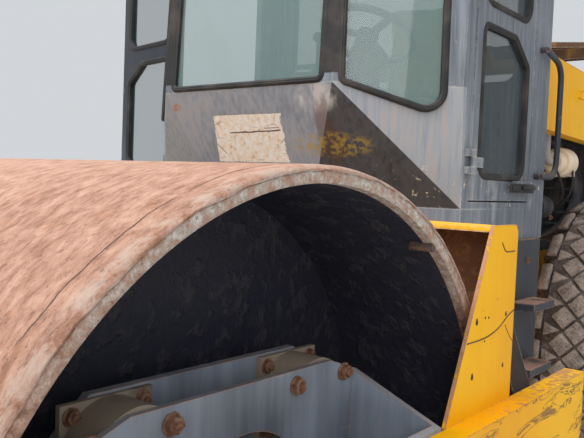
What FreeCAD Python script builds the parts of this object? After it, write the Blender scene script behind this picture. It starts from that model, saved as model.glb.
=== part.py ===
# Single-drum road roller with an articulated frame, a closed cab and a rear engine.
# Millimetres. X to the driver's left, Y to the rear, Z up.
# The origin lies on the ground under the drum's axle.
import FreeCAD, Part
import math
import os

import Sketcher
from FreeCAD import Placement, Rotation, Vector

# Driving dimensions: name, value, what it measures
SIZES = (
    # Drum
    ("drum_radius", 750, "outside of the drum shell"),
    ("drum_half", 1050, "half the drum's width"),
    ("drum_wall", 34, "thickness of the shell"),
    ("drum_edge", 14, "worn rounding of the shell's outer edges"),
    ("head_outside", 620, "outer face of a drum head from the middle"),
    ("head_wall", 25, "thickness of a drum head"),
    ("exciter_radius", 230, "vibrator housing between the heads"),
    ("journal_radius", 130, "drum journal outside the head"),
    ("journal_length", 30, "drum journal outside the head"),
    ("peg_radius", 9, "round bar welded inside the shell near its rim"),
    ("peg_length", 60, "round bar, along the axle"),
    ("peg_inset", 5, "bar's outer end from the shell's edge"),
    ("peg_angle", 55, "bar's place round the shell, from the rear, in degrees"),
    ("peg_weld", 3, "bar sunk into the shell"),
    # Clearances
    ("run_gap", 0.3, "between pieces that turn or slide on each other"),
    ("seat_gap", 0.3, "between round pieces that seat in each other"),
    # Front frame
    ("beam_inside", 1075, "inner face of a side beam from the middle"),
    ("beam_width", 60, "side beam, across"),
    ("beam_top", 914, "top of the side beams"),
    ("beam_bottom", 604, "underside of the side beams"),
    ("beam_nose", 235, "side beams beyond the drum at the front"),
    ("beam_tail", 270, "side beams behind the rear crossmember"),
    ("beam_tail_cut", 120, "slanted cut under the side beam's rear end"),
    ("eye_radius", 22, "lashing and towing eyes"),
    ("eye_inset", 65, "lashing eye from the beam's front and underside"),
    ("front_cross_depth", 120, "front crossmember, front to rear"),
    ("front_cross_top", 880, "top of the front crossmember"),
    ("front_cross_round", 25, "rounding of its upper front edge"),
    ("cross_clear", 125, "from the drum to the rear crossmember"),
    ("cross_depth", 120, "rear crossmember, front to rear"),
    ("cross_top", 1372, "top of the tall webs' flanges"),
    ("cross_low", 1080, "top of the crossmember's low middle"),
    ("cross_tall_from", 735, "inner edges of the tall webs"),
    ("cross_low_to", 640, "where the low middle ends"),
    ("cross_end_top", 884, "top of the crossmember where it meets the beams"),
    ("column_out", 960, "outer edge of the columns behind the tall webs"),
    ("column_top", 1200, "top of those columns"),
    ("web_clear", 35, "from the drum to the tall webs"),
    ("web_wall", 35, "tall webs, front to rear"),
    ("flange_wall", 12, "top flange of a tall web"),
    ("flange_run", 120, "flange ahead of its web"),
    ("gusset_wall", 10, "side gusset plate"),
    ("gusset_foot", 760, "lower edge of a gusset plate"),
    ("gusset_foot_run", 370, "gusset's front end ahead of the tall web's rear, at the beam's top"),
    ("gusset_peak_run", 155, "front of the gusset's top edge ahead of the tall web's rear"),
    ("gusset_crest_run", 15, "rear of the gusset's top edge ahead of the tall web's rear"),
    ("gusset_peak", 1378, "top of the gusset"),
    # Drum brackets
    ("bracket_inside", 850, "inner panel of a drum bracket from the middle"),
    ("bracket_wall", 14, "drum bracket's plate"),
    ("bracket_rise", 312, "top of the inner panel above the axle"),
    ("bracket_drop", 250, "underside of the bracket below the axle"),
    ("bracket_flat", 285, "half the straight top edge"),
    ("bracket_bend", 385, "where the plate bends out to the beam"),
    ("bracket_foot", 430, "where the plate meets the beam"),
    ("bracket_flange", 130, "length of the flange on the beam"),
    ("bracket_slope", 35, "fall of the top edge to the plate's bend"),
    ("bracket_outer_rise", 8, "top of the plate above the beam it meets"),
    ("bracket_hole", 210, "radius of the hole round the axle"),
    ("plate_half", 358, "half the mount plate's length"),
    ("plate_rise", 325, "mount plate above and below the axle"),
    ("plate_wall", 20, "mount plate"),
    ("mount_inset", 100, "from the bracket's panel in to the mount plate"),
    ("plate_corner", 70, "mount plate's cut corners"),
    ("bearing_radius", 170, "bearing housing on the mount plate"),
    ("buffer_radius", 100, "rubber buffer"),
    ("buffer_flange", 200, "square end plate of a buffer"),
    ("buffer_flange_wall", 12, "end plate of a buffer"),
    ("buffer_out", 255, "buffer from the axle, front and rear"),
    ("buffer_up", 220, "buffer from the axle, up and down"),
    ("motor_radius", 105, "hydraulic motor on the mount plate"),
    ("motor_length", 215, "hydraulic motor on the mount plate"),
    # Scrapers
    ("scraper_gap", 8, "between a scraper's edge and the drum"),
    ("scraper_angle", 10, "scraper's edge below the axle, in degrees"),
    ("scraper_wall", 12, "scraper blade"),
    ("scraper_half", 1040, "half the scraper's width"),
    ("scraper_root", 700, "top of the scraper's root on its crossmember"),
    ("scraper_rib", 10, "scraper's ribs"),
    ("scraper_bevel", 4, "slant of the blade's edge"),
    ("rib_reach", 70, "length of a scraper's rib"),
    ("rib_foot", 8, "rib's foot above the crossmember's underside"),
    # Articulation
    ("pivot_back", 1450, "steering pin behind the drum's axle"),
    ("pivot_height", 700, "oscillation axis above the ground"),
    ("pin_radius", 45, "steering pin"),
    ("pin_cap", 62, "caps of the steering pin"),
    ("pin_cap_wall", 14, "caps of the steering pin"),
    ("ear_spread", 160, "inner faces of the clevis plates from the axis"),
    ("ear_wall", 40, "clevis plates"),
    ("ear_nose", 110, "rounding of the clevis plates"),
    ("ear_root", 170, "half the clevis plates' width at the crossmember"),
    ("link_hub", 78, "centre link round the steering pin"),
    ("link_half", 85, "half the centre link's arm"),
    ("link_flange", 235, "round flange of the centre link"),
    ("link_flange_back", 1590, "front face of that flange"),
    ("link_flange_wall", 30, "round flange of the centre link"),
    ("trunnion_radius", 85, "oscillation trunnion"),
    ("bearing_ring", 150, "oscillation bearing housing"),
    ("bearing_length", 240, "oscillation bearing housing"),
    ("retainer_wall", 20, "plate that holds the trunnion"),
    ("retainer_rim", 25, "that plate beyond the trunnion"),
    ("link_step", 20, "arm's top and underside inside the hub's ends"),
    # Steering cylinders
    ("jack_root_x", 180, "barrel pin from the middle"),
    ("jack_root_back", 101, "barrel pin behind the steering pin"),
    ("jack_eye_x", 250, "rod eye from the middle"),
    ("jack_eye_out", 80, "rod eye behind the crossmember"),
    ("jack_radius", 35, "steering cylinder's barrel"),
    ("jack_rod", 20, "steering cylinder's rod"),
    ("jack_eye", 36, "eyes of barrel and rod"),
    ("jack_eye_wall", 56, "height of the eyes"),
    ("jack_ear_wall", 22, "ears that hold the eyes"),
    ("jack_pin", 18, "pins of the steering cylinders"),
    ("jack_cap", 12, "heads of the rod pins"),
    ("jack_bush", 6, "from a barrel's eye to its tube"),
    ("jack_end", 8, "barrel's closed end"),
    ("jack_barrel", 312, "barrel, from its pin to its gland"),
    ("jack_rod_inside", 171, "rod's hidden end from the barrel's pin"),
    # Rear chassis
    ("chassis_half", 425, "outer faces of the chassis plates from the middle"),
    ("chassis_wall", 30, "chassis plates"),
    ("chassis_front", 1660, "front face of the chassis"),
    ("chassis_rear", 4300, "rear face of the chassis"),
    ("chassis_top", 1150, "top of the chassis plates"),
    ("chassis_front_bottom", 480, "underside of the chassis at the articulation"),
    ("chassis_rear_bottom", 620, "underside of the chassis at the rear"),
    ("chassis_arch", 905, "underside of the chassis over the axle"),
    ("chassis_arch_half", 420, "half the arch over the axle"),
    ("arch_front_run", 180, "slope in front of the arch"),
    ("arch_rear_run", 150, "slope behind the arch"),
    ("chassis_tail_cut", 160, "slanted cut under the chassis' rear end"),
    ("chassis_plate", 40, "crosswise chassis plates"),
    ("deck_front", 1150, "front of the cab's deck"),
    ("deck_wall", 80, "depth of the cab's deck"),
    ("deck_half", 450, "half the cab deck's width"),
    ("mount_pad", 45, "radius of the cab's rubber mounts"),
    ("mount_pad_in", 100, "mounts from the deck's sides"),
    ("mount_pad_back", 120, "mounts from the deck's ends"),
    # Rear axle and wheels
    ("axle_back", 2950, "rear axle behind the drum's axle"),
    ("tyre_radius", 720, "tyre, out to its tread"),
    ("tyre_inside", 550, "inner side of a tyre from the middle"),
    ("tyre_width", 500, "tyre, across"),
    ("tyre_bead", 335, "tyre on its rim"),
    ("tyre_shoulder", 690, "tyre's radius at its shoulders"),
    ("bead_inset", 45, "tyre's beads from its sides"),
    ("bulge_round", 60, "rounding of the tyre's sides"),
    ("shoulder_inset", 28, "tyre's shoulders from its sides"),
    ("shoulder_round", 30, "rounding of the shoulders"),
    ("tread_inset", 80, "tread's edges from the tyre's sides"),
    ("tread_round", 40, "rounding of the tread's edges"),
    ("band_half", 150, "half the tread between the shoulder lugs"),
    ("lug_count", 24, "shoulder lugs on each side"),
    ("groove_width", 56, "groove between two lugs"),
    ("groove_depth", 20, "groove between two lugs"),
    ("groove_run", 90, "groove's end below the shoulder"),
    ("rim_wall", 12, "wheel rim"),
    ("rim_flange", 362, "wheel rim's flanges"),
    ("rim_inset", 28, "rim's flanges from the tyre's sides"),
    ("rim_lip", 10, "width of a rim's flange"),
    ("rim_slope", 7, "slope from the flange to the bead's seat"),
    ("disc_inside", 690, "inner face of the wheel disc from the middle"),
    ("disc_wall", 22, "wheel disc"),
    ("disc_dish", 40, "wheel disc's rim zone outside its middle"),
    ("disc_flat", 205, "radius of the disc's flat middle"),
    ("disc_turn", 255, "radius where the dish ends"),
    ("wheel_hub", 150, "wheel hub cap"),
    ("wheel_hub_length", 90, "wheel hub cap"),
    ("axle_tube", 105, "rear axle housing"),
    ("axle_belly", 215, "differential housing"),
    ("axle_belly_half", 140, "half the differential housing's width"),
    ("axle_spindle", 170, "rear axle's ends inside the rims"),
    ("axle_pad", 120, "half the axle's seats under the chassis plates"),
    # Cab
    ("cab_half", 740, "half the cab's width"),
    ("cab_rear", 1910, "rear wall of the cab"),
    ("cab_floor", 1281, "underside of the cab"),
    ("cab_base", 1400, "where the front panels begin"),
    ("cab_waist", 1800, "lower edge of the front window"),
    ("cab_eaves", 2850, "underside of the roof"),
    ("cab_wall", 35, "cab walls and doors"),
    ("nose_base_half", 240, "half the front panel at its foot"),
    ("nose_base_y", 1008, "front panel's foot"),
    ("nose_waist_half", 408, "half the front panel at the waist"),
    ("nose_waist_y", 860, "front panel at the waist"),
    ("nose_eaves_half", 400, "half the front window at the roof"),
    ("nose_eaves_y", 905, "front window at the roof"),
    ("side_base_y", 1160, "front of the side wall at its foot"),
    ("side_waist_y", 1135, "front of the side wall at the waist"),
    ("roof_overhang", 45, "roof beyond the walls"),
    ("roof_wall", 110, "depth of the roof"),
    ("window_frame", 45, "frame round a window"),
    ("window_round", 60, "corners of the windows"),
    ("window_sill", 12, "front window above the waist"),
    ("side_sill", 6, "front lower corner of a side window above the waist"),
    ("side_window_front", 32, "side window from the front post"),
    ("side_window_rear", 63, "side window from the rear post"),
    ("rear_sill", 120, "rear window above the waist"),
    ("rear_window_in", 135, "rear window from the cab's sides"),
    ("rear_window_top", 90, "rear window from the roof"),
    ("roof_round", 60, "corners of the roof"),
    ("glass_wall", 6, "window glass"),
    ("side_window_dip", 1705, "rear lower corner of a side window"),
    # Doors
    ("door_front", 1215, "front edge of a door"),
    ("door_rear", 1735, "rear edge of a door"),
    ("door_bottom", 1430, "lower edge of a door"),
    ("door_header", 45, "from a door's upper edge to the roof"),
    ("door_gap", 6, "gap round a door"),
    ("door_seam", 2070, "height of the seam across a door"),
    ("door_frame", 62, "door's frame round its windows"),
    ("door_sill", 85, "door's lower rail"),
    ("door_corner", 130, "slanted lower rear corner of the door's lower window"),
    ("seam_below", 38, "lower window's top under the seam"),
    ("seam_above", 42, "upper window's foot above the seam"),
    ("handle_rise", 50, "underside of a door's handle above the door's lower edge"),
    ("handle_length", 120, "door's handle"),
    ("handle_depth", 20, "door's handle, out from the door"),
    ("handle_wide", 26, "door's handle, up and down"),
    ("handle_inset", 40, "door's handle from the door's rear edge"),
    ("door_open", 80, "right door at rest, in degrees"),
    ("hinge_radius", 11, "door hinges"),
    ("hinge_out", 13, "hinge axis outside the cab's wall"),
    ("hinge_knuckle", 34, "height of each hinge knuckle"),
    ("hinge_fixed", 24, "height of the knuckles on the cab"),
    ("hinge_ahead", 6, "hinge axis ahead of the door's edge"),
    ("strap_door", 80, "hinge strap on the door"),
    ("strap_post", 40, "hinge strap on the cab's post"),
    ("hinge_low", 1560, "lower hinge"),
    ("hinge_high", 2170, "upper hinge"),
    # Inside the cab
    ("seat_x", 260, "seat from the middle"),
    ("seat_width", 470, "seat, across"),
    ("seat_front", 1380, "front of the seat"),
    ("seat_rear", 1830, "rear of the seat"),
    ("seat_height", 380, "top of the seat's cushion above the cab's floor"),
    ("seat_pad", 110, "seat's padding"),
    ("seat_back", 480, "height of the seat's back"),
    ("seat_recline", 40, "lean of the seat's back, from foot to top"),
    ("seat_round", 34, "rounding of the cushions"),
    ("pedestal_half", 150, "half the seat's pedestal"),
    ("pedestal_front", 90, "pedestal behind the seat's front"),
    ("pedestal_rear", 40, "pedestal ahead of the seat's rear"),
    ("column_y", 1190, "steering column"),
    ("column_height", 560, "steering column above the cab's floor"),
    ("column_half", 45, "half the steering column's width"),
    ("column_foot", 70, "half the column's foot, front to rear"),
    ("column_lean", 90, "lean of the column towards the seat"),
    ("wheel_radius", 190, "steering wheel"),
    ("wheel_grip", 14, "steering wheel's rim"),
    ("wheel_tilt", 25, "steering wheel's tilt, in degrees"),
    ("wheel_boss", 42, "middle of the steering wheel"),
    ("spoke_wide", 26, "steering wheel's spokes"),
    ("console_width", 170, "control console"),
    ("console_gap", 40, "from the seat to the console"),
    ("console_rise", 130, "console above the seat's cushion"),
    ("console_nose", 60, "console ahead of the seat's front"),
    ("console_round", 45, "console's upper corners"),
    ("lever_radius", 8, "drive lever"),
    ("lever_height", 150, "drive lever"),
    ("knob_radius", 24, "drive lever's knob"),
    # Steps and rails
    ("step_plate_out", 6, "inner face of the step plates outside the cab's wall"),
    ("step_plate_wall", 14, "step plates"),
    ("step_front", 1560, "front of the step plates"),
    ("step_rear", 1850, "rear of the step plates"),
    ("step_low", 760, "underside of the step plates"),
    ("step_foot", 60, "feet between a step plate and its tank"),
    ("tread_out", 850, "outer edge of the treads"),
    ("tread_front", 1585, "front of the treads"),
    ("tread_rear", 1800, "rear of the treads"),
    ("tread_wall", 28, "depth of a tread"),
    ("tread_upper", 1020, "underside of the upper tread"),
    ("tread_lower", 775, "underside of the lower tread"),
    ("rail_radius", 12, "handrail tube"),
    ("rail_out", 24, "handrail's middle outside the cab's wall"),
    ("rail_foot", 1800, "handrail's feet on the cab's rear post"),
    ("rail_rear", 1975, "handrail's upright part"),
    ("rail_top", 2030, "handrail's upper foot"),
    ("rail_low", 1530, "handrail's lower foot"),
    ("rail_drop", 40, "fall of the handrail's upper run"),
    ("rail_bend", 75, "handrail's bends"),
    ("tank_front", 1580, "front of the side tanks"),
    ("tank_clear", 10, "from a side tank's rear to the step plate's rear"),
    ("tank_bottom", 720, "underside of the side tanks"),
    ("tank_inset", 46, "side tank behind the step plate"),
    ("tank_round", 45, "rounding of the tank's edges"),
    # Engine bay
    ("bay_front", 1970, "front of the engine bay"),
    ("bay_rear", 4200, "rear of the engine bay"),
    ("bay_inset", 40, "bay's side panels inside the cab's walls"),
    ("bay_wall", 22, "engine side panels"),
    ("panel_fold", 38, "fold inside a panel's lower edge"),
    ("panel_fold_wall", 10, "fold inside a panel's lower edge"),
    ("leg_half", 50, "bay's corner posts, across"),
    ("leg_depth", 40, "bay's corner posts, front to rear"),
    ("leg_drop", 20, "top of the posts under the panels' top"),
    ("bay_beam", 60, "bay's upper crossbar"),
    ("bay_foot", 50, "bay's lower crossbar"),
    ("panel_front_top", 2060, "side panel's top at its front"),
    ("panel_rear_top", 1980, "side panel's top at its rear"),
    ("panel_front_bottom", 1738, "side panel's lower edge at its front"),
    ("panel_rear_bottom", 1680, "side panel's lower edge at its rear"),
    ("lid_gap", 6, "between the closed lid and the side panels"),
    ("lid_wall", 24, "engine lid"),
    ("lid_rib", 50, "depth of the lid's ribs"),
    ("lid_rib_wall", 28, "lid's ribs"),
    ("lid_rib_x", 600, "lengthwise ribs from the middle"),
    ("lid_rib_inset", 80, "ribs' ends from the bay's ends"),
    ("lid_rear_lip", 20, "lid behind the bay"),
    ("lid_open", 12, "engine lid at rest, in degrees"),
    ("lid_pin", 12, "lid's hinge pins"),
    ("lid_hinge_out", 30, "lid's hinge axis in front of the bay"),
    ("lid_hinge_x", 400, "lid's hinges from the middle"),
    ("lid_hinge_width", 80, "lid's half of a hinge"),
    ("lid_lug", 60, "hinge plate under the lid's front edge"),
    ("knuckle_wall", 30, "bay's hinge knuckles"),
    ("engine_front", 2250, "front of the pump on the engine"),
    ("engine_rear", 3350, "rear of the engine's pulleys"),
    ("engine_floor", 1020, "underside of the oil pan"),
    ("engine_top", 1680, "top of the rocker cover"),
    ("crank_height", 1240, "crankshaft above the ground"),
    ("pump_radius", 105, "hydraulic pump"),
    ("pump_length", 170, "hydraulic pump"),
    ("flywheel_radius", 225, "flywheel housing"),
    ("flywheel_depth", 90, "flywheel housing"),
    ("case_half", 200, "half the crankcase's width"),
    ("case_low", 1150, "underside of the crankcase"),
    ("case_top", 1450, "top of the crankcase"),
    ("pulley_run", 60, "pulleys behind the crankcase"),
    ("pan_half", 175, "half the oil pan at its top"),
    ("pan_taper", 45, "oil pan's slant on each side"),
    ("cylinder_half", 150, "half the cylinder head's width"),
    ("cylinder_top", 1570, "top of the cylinder head"),
    ("rocker_half", 105, "half the rocker cover's width"),
    ("rocker_round", 34, "rocker cover's edges"),
    ("manifold_radius", 36, "exhaust manifold"),
    ("manifold_out", 70, "exhaust manifold outside the head"),
    ("port_radius", 22, "exhaust ports"),
    ("port_count", 6, "exhaust ports"),
    ("filter_radius", 42, "fuel and oil filters"),
    ("filter_length", 150, "fuel and oil filters"),
    ("starter_radius", 48, "starter"),
    ("alternator_radius", 68, "alternator"),
    ("mount_wall", 60, "engine's feet, front to rear"),
    ("mount_low", 1100, "underside of the engine's feet"),
    ("mount_high", 1190, "top of the engine's feet"),
    ("radiator_front", 3700, "front of the radiator"),
    ("radiator_depth", 140, "radiator, front to rear"),
    ("radiator_half", 580, "half the radiator's width"),
    ("core_half", 500, "half the radiator's core"),
    ("core_depth", 25, "core's face behind the frame"),
    ("core_edge", 80, "frame above and below the core"),
    ("fin_count", 24, "fins of the core"),
    ("fin_wall", 8, "fins of the core"),
    ("shroud_radius", 340, "fan shroud"),
    ("shroud_wall", 15, "fan shroud"),
    ("shroud_depth", 140, "fan shroud ahead of the radiator"),
    ("shroud_height", 1500, "middle of the fan shroud"),
    ("guard_bar", 10, "bars of the fan's guard"),
    ("guard_count", 9, "bars of the fan's guard"),
    ("hose_radius", 24, "coolant pipes"),
    ("canister_radius", 70, "air cleaner"),
    ("canister_inset", 80, "air cleaner's middle inside the bay's side"),
    ("canister_front", 2400, "front of the air cleaner"),
    ("canister_length", 110, "air cleaner, front to rear"),
    ("canister_height", 1615, "middle of the air cleaner"),
    ("canister_neck", 50, "radius of the bellows ahead of the canister"),
    ("bellows_pitch", 15, "ribs of the bellows"),
    ("bellows_count", 4, "ribs of the bellows"),
    ("bellows_groove", 8, "depth of the bellows' grooves"),
    ("canister_round", 16, "canister's edges"),
    ("shelf_wall", 18, "canister's bracket"),
    ("shelf_tail", 70, "bracket behind the canister"),
    ("pipe_radius", 22, "air pipe"),
    ("pipe_bend", 60, "bend of the air pipe"),
    ("pipe_front", 2245, "upright part of the air pipe"),
    ("pipe_top", 1930, "upper end of the air pipe"),
    ("muffler_radius", 72, "exhaust muffler"),
    ("tail_radius", 34, "exhaust pipe"),
    ("tail_wall", 6, "exhaust pipe"),
    ("muffler_shoulder", 22, "slope of the muffler's ends"),
    ("muffler_inset", 60, "muffler from the pipe's ends"),
    ("grille_slat", 14, "grille slats"),
    ("grille_front", 6, "slats behind the posts' front faces"),
    ("slat_count", 9, "grille slats"),
    ("bumper_rear", 4420, "rear face of the rear bumper"),
    ("bumper_half", 640, "half the rear bumper's width"),
    ("bumper_round", 60, "bumper's rear corners"),
    ("tow_lug", 60, "half the towing lug's width"),
    ("tow_lug_wall", 30, "towing lug"),
    ("tow_lug_height", 950, "middle of the towing lug"),
    # Work lamps
    ("lamp_half", 70, "half a work lamp's width"),
    ("lamp_height", 78, "work lamp"),
    ("lamp_depth", 62, "work lamp, front to rear"),
    ("lamp_round", 18, "work lamp's corners"),
    ("lamp_lens", 6, "lens behind the lamp's rim"),
    ("lamp_rim", 9, "rim round the lens"),
    ("lamp_front_x", 290, "front work lamps from the middle"),
    ("lamp_rear_x", 560, "rear work lamps from the middle"),
    ("lamp_stem", 14, "half a lamp's bracket"),
    ("lamp_reach", 16, "lamp's bracket between it and the roof"),
)


class Size:
    """A length that remembers the sheet expression it comes from."""

    def __init__(self, number, text):
        self.number = float(number)
        self.text = text

    def mix(self, other, sign, number):
        text = other.text if isinstance(other, Size) else repr(float(other))
        return Size(number, f"({self.text} {sign} {text})")

    def __float__(self):
        return self.number

    def __add__(self, other):
        return self.mix(other, "+", self.number + float(other))

    def __sub__(self, other):
        return self.mix(other, "-", self.number - float(other))

    def __mul__(self, other):
        return self.mix(other, "*", self.number * float(other))

    def __truediv__(self, other):
        return self.mix(other, "/", self.number / float(other))

    def __radd__(self, other):
        return Size(other, repr(float(other))) + self

    def __rsub__(self, other):
        return Size(other, repr(float(other))) - self

    def __rmul__(self, other):
        return Size(other, repr(float(other))) * self

    def __neg__(self):
        return 0 - self


class Sizes:
    """The spreadsheet of driving dimensions, read by name."""

    def __init__(self, doc):
        self.sheet = doc.addObject("Spreadsheet::Sheet", "Sizes")
        for row, (name, value, meaning) in enumerate(SIZES, 1):
            self.sheet.set(f"A{row}", str(value))
            self.sheet.set(f"B{row}", meaning)
            self.sheet.setAlias(f"A{row}", name)
        doc.recompute()

    def __getattr__(self, name):
        return Size(self.sheet.get(name), f"Sizes.{name}")

    # Places that follow from other sizes
    @property
    def beam_front(self):
        return -(self.drum_radius + self.beam_nose)

    @property
    def cross_front(self):
        return self.drum_radius + self.cross_clear

    @property
    def cross_rear(self):
        return self.cross_front + self.cross_depth

    @property
    def web_front(self):
        return self.drum_radius + self.web_clear

    @property
    def web_rear(self):
        return self.web_front + self.web_wall

    @property
    def beam_rear(self):
        return self.cross_rear + self.beam_tail

    @property
    def gusset_foot_front(self):
        return self.web_rear - self.gusset_foot_run

    @property
    def gusset_peak_front(self):
        return self.web_rear - self.gusset_peak_run

    @property
    def gusset_peak_rear(self):
        return self.web_rear - self.gusset_crest_run

    @property
    def bracket_top(self):
        return self.drum_radius + self.bracket_rise

    @property
    def bracket_bottom(self):
        return self.drum_radius - self.bracket_drop

    @property
    def bracket_shoulder(self):
        return self.bracket_top - self.bracket_slope

    @property
    def bracket_outer_top(self):
        return self.beam_top + self.bracket_outer_rise

    @property
    def jack_root_y(self):
        return self.pivot_back + self.jack_root_back

    @property
    def jack_eye_y(self):
        return self.cross_rear + self.jack_eye_out

    @property
    def door_top(self):
        return self.cab_eaves - self.door_header

    @property
    def step_plate_x(self):
        return self.cab_half + self.step_plate_out

    @property
    def tank_rear(self):
        return self.step_rear - self.tank_clear

    @property
    def bay_half(self):
        return self.cab_half - self.bay_inset

    @property
    def canister_x(self):
        return self.bay_half - self.canister_inset


doc = FreeCAD.newDocument("road_roller")
S = Sizes(doc)
nodes = []

# Each axis: the turn that lays a primitive's own Z along it
ALONG = {
    "X": Rotation(Vector(0, 1, 0), 90),
    "Y": Rotation(Vector(1, 0, 0), -90),
    "Z": Rotation(),
}
SIDES = (("left", 1), ("right", -1))


def bind(thing, path, size):
    """Ties one property of an object to the sheet, where its size comes from there."""
    if isinstance(size, Size):
        thing.setExpression(path, size.text)


def place(thing, at, turn=None):
    """Puts an object at a point whose coordinates may be sizes."""
    thing.Placement = Placement(Vector(*[float(c) for c in at]), turn or Rotation())
    for letter, size in zip("xyz", at):
        bind(thing, f"Placement.Base.{letter}", size)
    return thing


def node(label, thing):
    """Names a finished sub-part."""
    thing.Label = label
    nodes.append(thing)
    return thing


def box(x, y, z):
    """A block from three (low, high) pairs."""
    thing = doc.addObject("Part::Box", "block")
    for prop, (low, high) in zip(("Length", "Width", "Height"), (x, y, z)):
        setattr(thing, prop, float(high) - float(low))
        bind(thing, prop, high - low)
    return place(thing, (x[0], y[0], z[0]))


def cylinder(axis, middle, radius, low, high):
    """A round bar along an axis; middle holds its other two coordinates, in X, Y, Z order."""
    thing = doc.addObject("Part::Cylinder", "bar")
    thing.Radius = float(radius)
    thing.Height = float(high) - float(low)
    bind(thing, "Radius", radius)
    bind(thing, "Height", high - low)
    at = list(middle)
    at.insert("XYZ".index(axis), low)
    return place(thing, at, ALONG[axis])


def joined(*pieces):
    """One solid from pieces that touch."""
    thing = doc.addObject("Part::MultiFuse", "joined")
    thing.Shapes = list(pieces)
    thing.Refine = True
    return thing


def group(*pieces):
    """Several solids that don't touch, kept as one sub-part."""
    thing = doc.addObject("Part::Compound", "group")
    thing.Links = list(pieces)
    return thing


def cut(base, *tools):
    """A piece with tools taken away."""
    for tool in tools:
        thing = doc.addObject("Part::Cut", "cut")
        thing.Base = base
        thing.Tool = tool
        base = thing
    return base


def common(first, second):
    """What two pieces share."""
    thing = doc.addObject("Part::Common", "common")
    thing.Base = first
    thing.Tool = second
    return thing


def corner_arc(before, at, after, radius):
    """A corner's rounding: its start, middle and end points and its centre."""
    back = (before - at).normalize()
    ahead = (after - at).normalize()
    half = back.getAngle(ahead) / 2
    run = radius / math.tan(half)
    centre = at + (back + ahead).normalize() * (radius / math.sin(half))
    middle = centre + (at - centre).normalize() * radius
    return at + back * run, middle, at + ahead * run, centre


def draw(sketch, outline):
    """Draws a closed outline of (u, v) or (u, v, rounding) corners and ties each corner to its sizes."""
    flat = [Vector(float(p[0]), float(p[1]), 0) for p in outline]
    count = len(flat)
    arcs = {}
    for i, point in enumerate(outline):
        if len(point) > 2:
            arcs[i] = corner_arc(flat[i - 1], flat[i], flat[(i + 1) % count], float(point[2]))
    lines = []
    for i in range(count):
        start = arcs[i][2] if i in arcs else flat[i]
        after = (i + 1) % count
        end = arcs[after][0] if after in arcs else flat[after]
        lines.append(sketch.addGeometry(Part.LineSegment(start, end), False))
    for i, point in enumerate(outline):
        line, last = lines[i], lines[i - 1]
        if i in arcs:
            tie_round(sketch, arcs[i], last, line, point)
            held, spot = tie_corner(sketch, flat[i], last, line), 1
        else:
            sketch.addConstraint(Sketcher.Constraint("Coincident", last, 2, line, 1))
            held, spot = line, 1
        for kind, size in (("DistanceX", point[0]), ("DistanceY", point[1])):
            rule = sketch.addConstraint(Sketcher.Constraint(kind, -1, 1, held, spot, float(size)))
            bind(sketch, f"Constraints[{rule}]", size)


def tie_corner(sketch, at, last, line):
    """A point where two rounded-off lines would meet."""
    spot = sketch.addGeometry(Part.Point(at), True)
    sketch.addConstraint(Sketcher.Constraint("PointOnObject", spot, 1, last))
    sketch.addConstraint(Sketcher.Constraint("PointOnObject", spot, 1, line))
    return spot


def tie_round(sketch, ends, last, line, point):
    """An arc tangent to the lines on both sides of a corner."""
    start, middle, end, centre = ends
    turn = (middle - start).cross(end - middle).z
    first, second = (start, end) if turn > 0 else (end, start)
    circle = Part.Circle(centre, Vector(0, 0, 1), float(point[2]))
    angles = [math.atan2(p.y - centre.y, p.x - centre.x) for p in (first, second)]
    arc = sketch.addGeometry(Part.ArcOfCircle(circle, angles[0], angles[1]), False)
    near, far = (1, 2) if turn > 0 else (2, 1)
    sketch.addConstraint(Sketcher.Constraint("Tangent", last, 2, arc, near))
    sketch.addConstraint(Sketcher.Constraint("Tangent", arc, far, line, 1))
    rule = sketch.addConstraint(Sketcher.Constraint("Radius", arc, float(point[2])))
    bind(sketch, f"Constraints[{rule}]", point[2])


def new_sketch(body, plane):
    """A sketch on one of its body's own planes."""
    sketch = body.newObject("Sketcher::SketchObject", "outline")
    origin = [f for f in body.Origin.OriginFeatures if f.Role == f"{plane}_Plane"]
    sketch.AttachmentSupport = (origin[0], [""])
    sketch.MapMode = "FlatFace"
    return sketch


def plate(plane, outline, low, high, holes=()):
    """A body with one outline, padded from low to high; holes are (u, v, radius)."""
    body = doc.addObject("PartDesign::Body", "plate")
    sketch = new_sketch(body, plane)
    draw(sketch, outline)
    for u, v, radius in holes:
        circle = Part.Circle(Vector(float(u), float(v), 0), Vector(0, 0, 1), float(radius))
        ring = sketch.addGeometry(circle, False)
        rules = (("DistanceX", -1, 1, ring, 3, u), ("DistanceY", -1, 1, ring, 3, v), ("Radius", ring, radius))
        for rule in rules:
            made = sketch.addConstraint(Sketcher.Constraint(*rule[:-1], float(rule[-1])))
            bind(sketch, f"Constraints[{made}]", rule[-1])
    pad = body.newObject("PartDesign::Pad", "pad")
    pad.Profile = sketch
    pad.Length = float(high) - float(low)
    bind(pad, "Length", high - low)
    # A pad on the XZ plane runs towards -Y
    start = -high if plane == "XZ" else low
    sketch.AttachmentOffset = Placement(Vector(0, 0, float(start)), Rotation())
    bind(sketch, "AttachmentOffset.Base.z", start)
    return body


def turned(axis, profile, at=(0, 0, 0)):
    """A body turned about an axis from (radius, place along it) corners."""
    body = doc.addObject("PartDesign::Body", "turned")
    sketch = new_sketch(body, "XZ" if axis == "Z" else "XY")
    along_first = axis == "X"
    draw(sketch, [((p[1], p[0]) if along_first else (p[0], p[1])) + tuple(p[2:]) for p in profile])
    spin = body.newObject("PartDesign::Revolution", "spin")
    spin.Profile = sketch
    spin.ReferenceAxis = (sketch, ["H_Axis" if along_first else "V_Axis"])
    spin.Angle = 360
    return place(body, at)


def held(base, shape):
    """A piece that needs a shape of its own."""
    thing = doc.addObject("Part::Feature", base)
    thing.Shape = shape
    return thing


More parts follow.
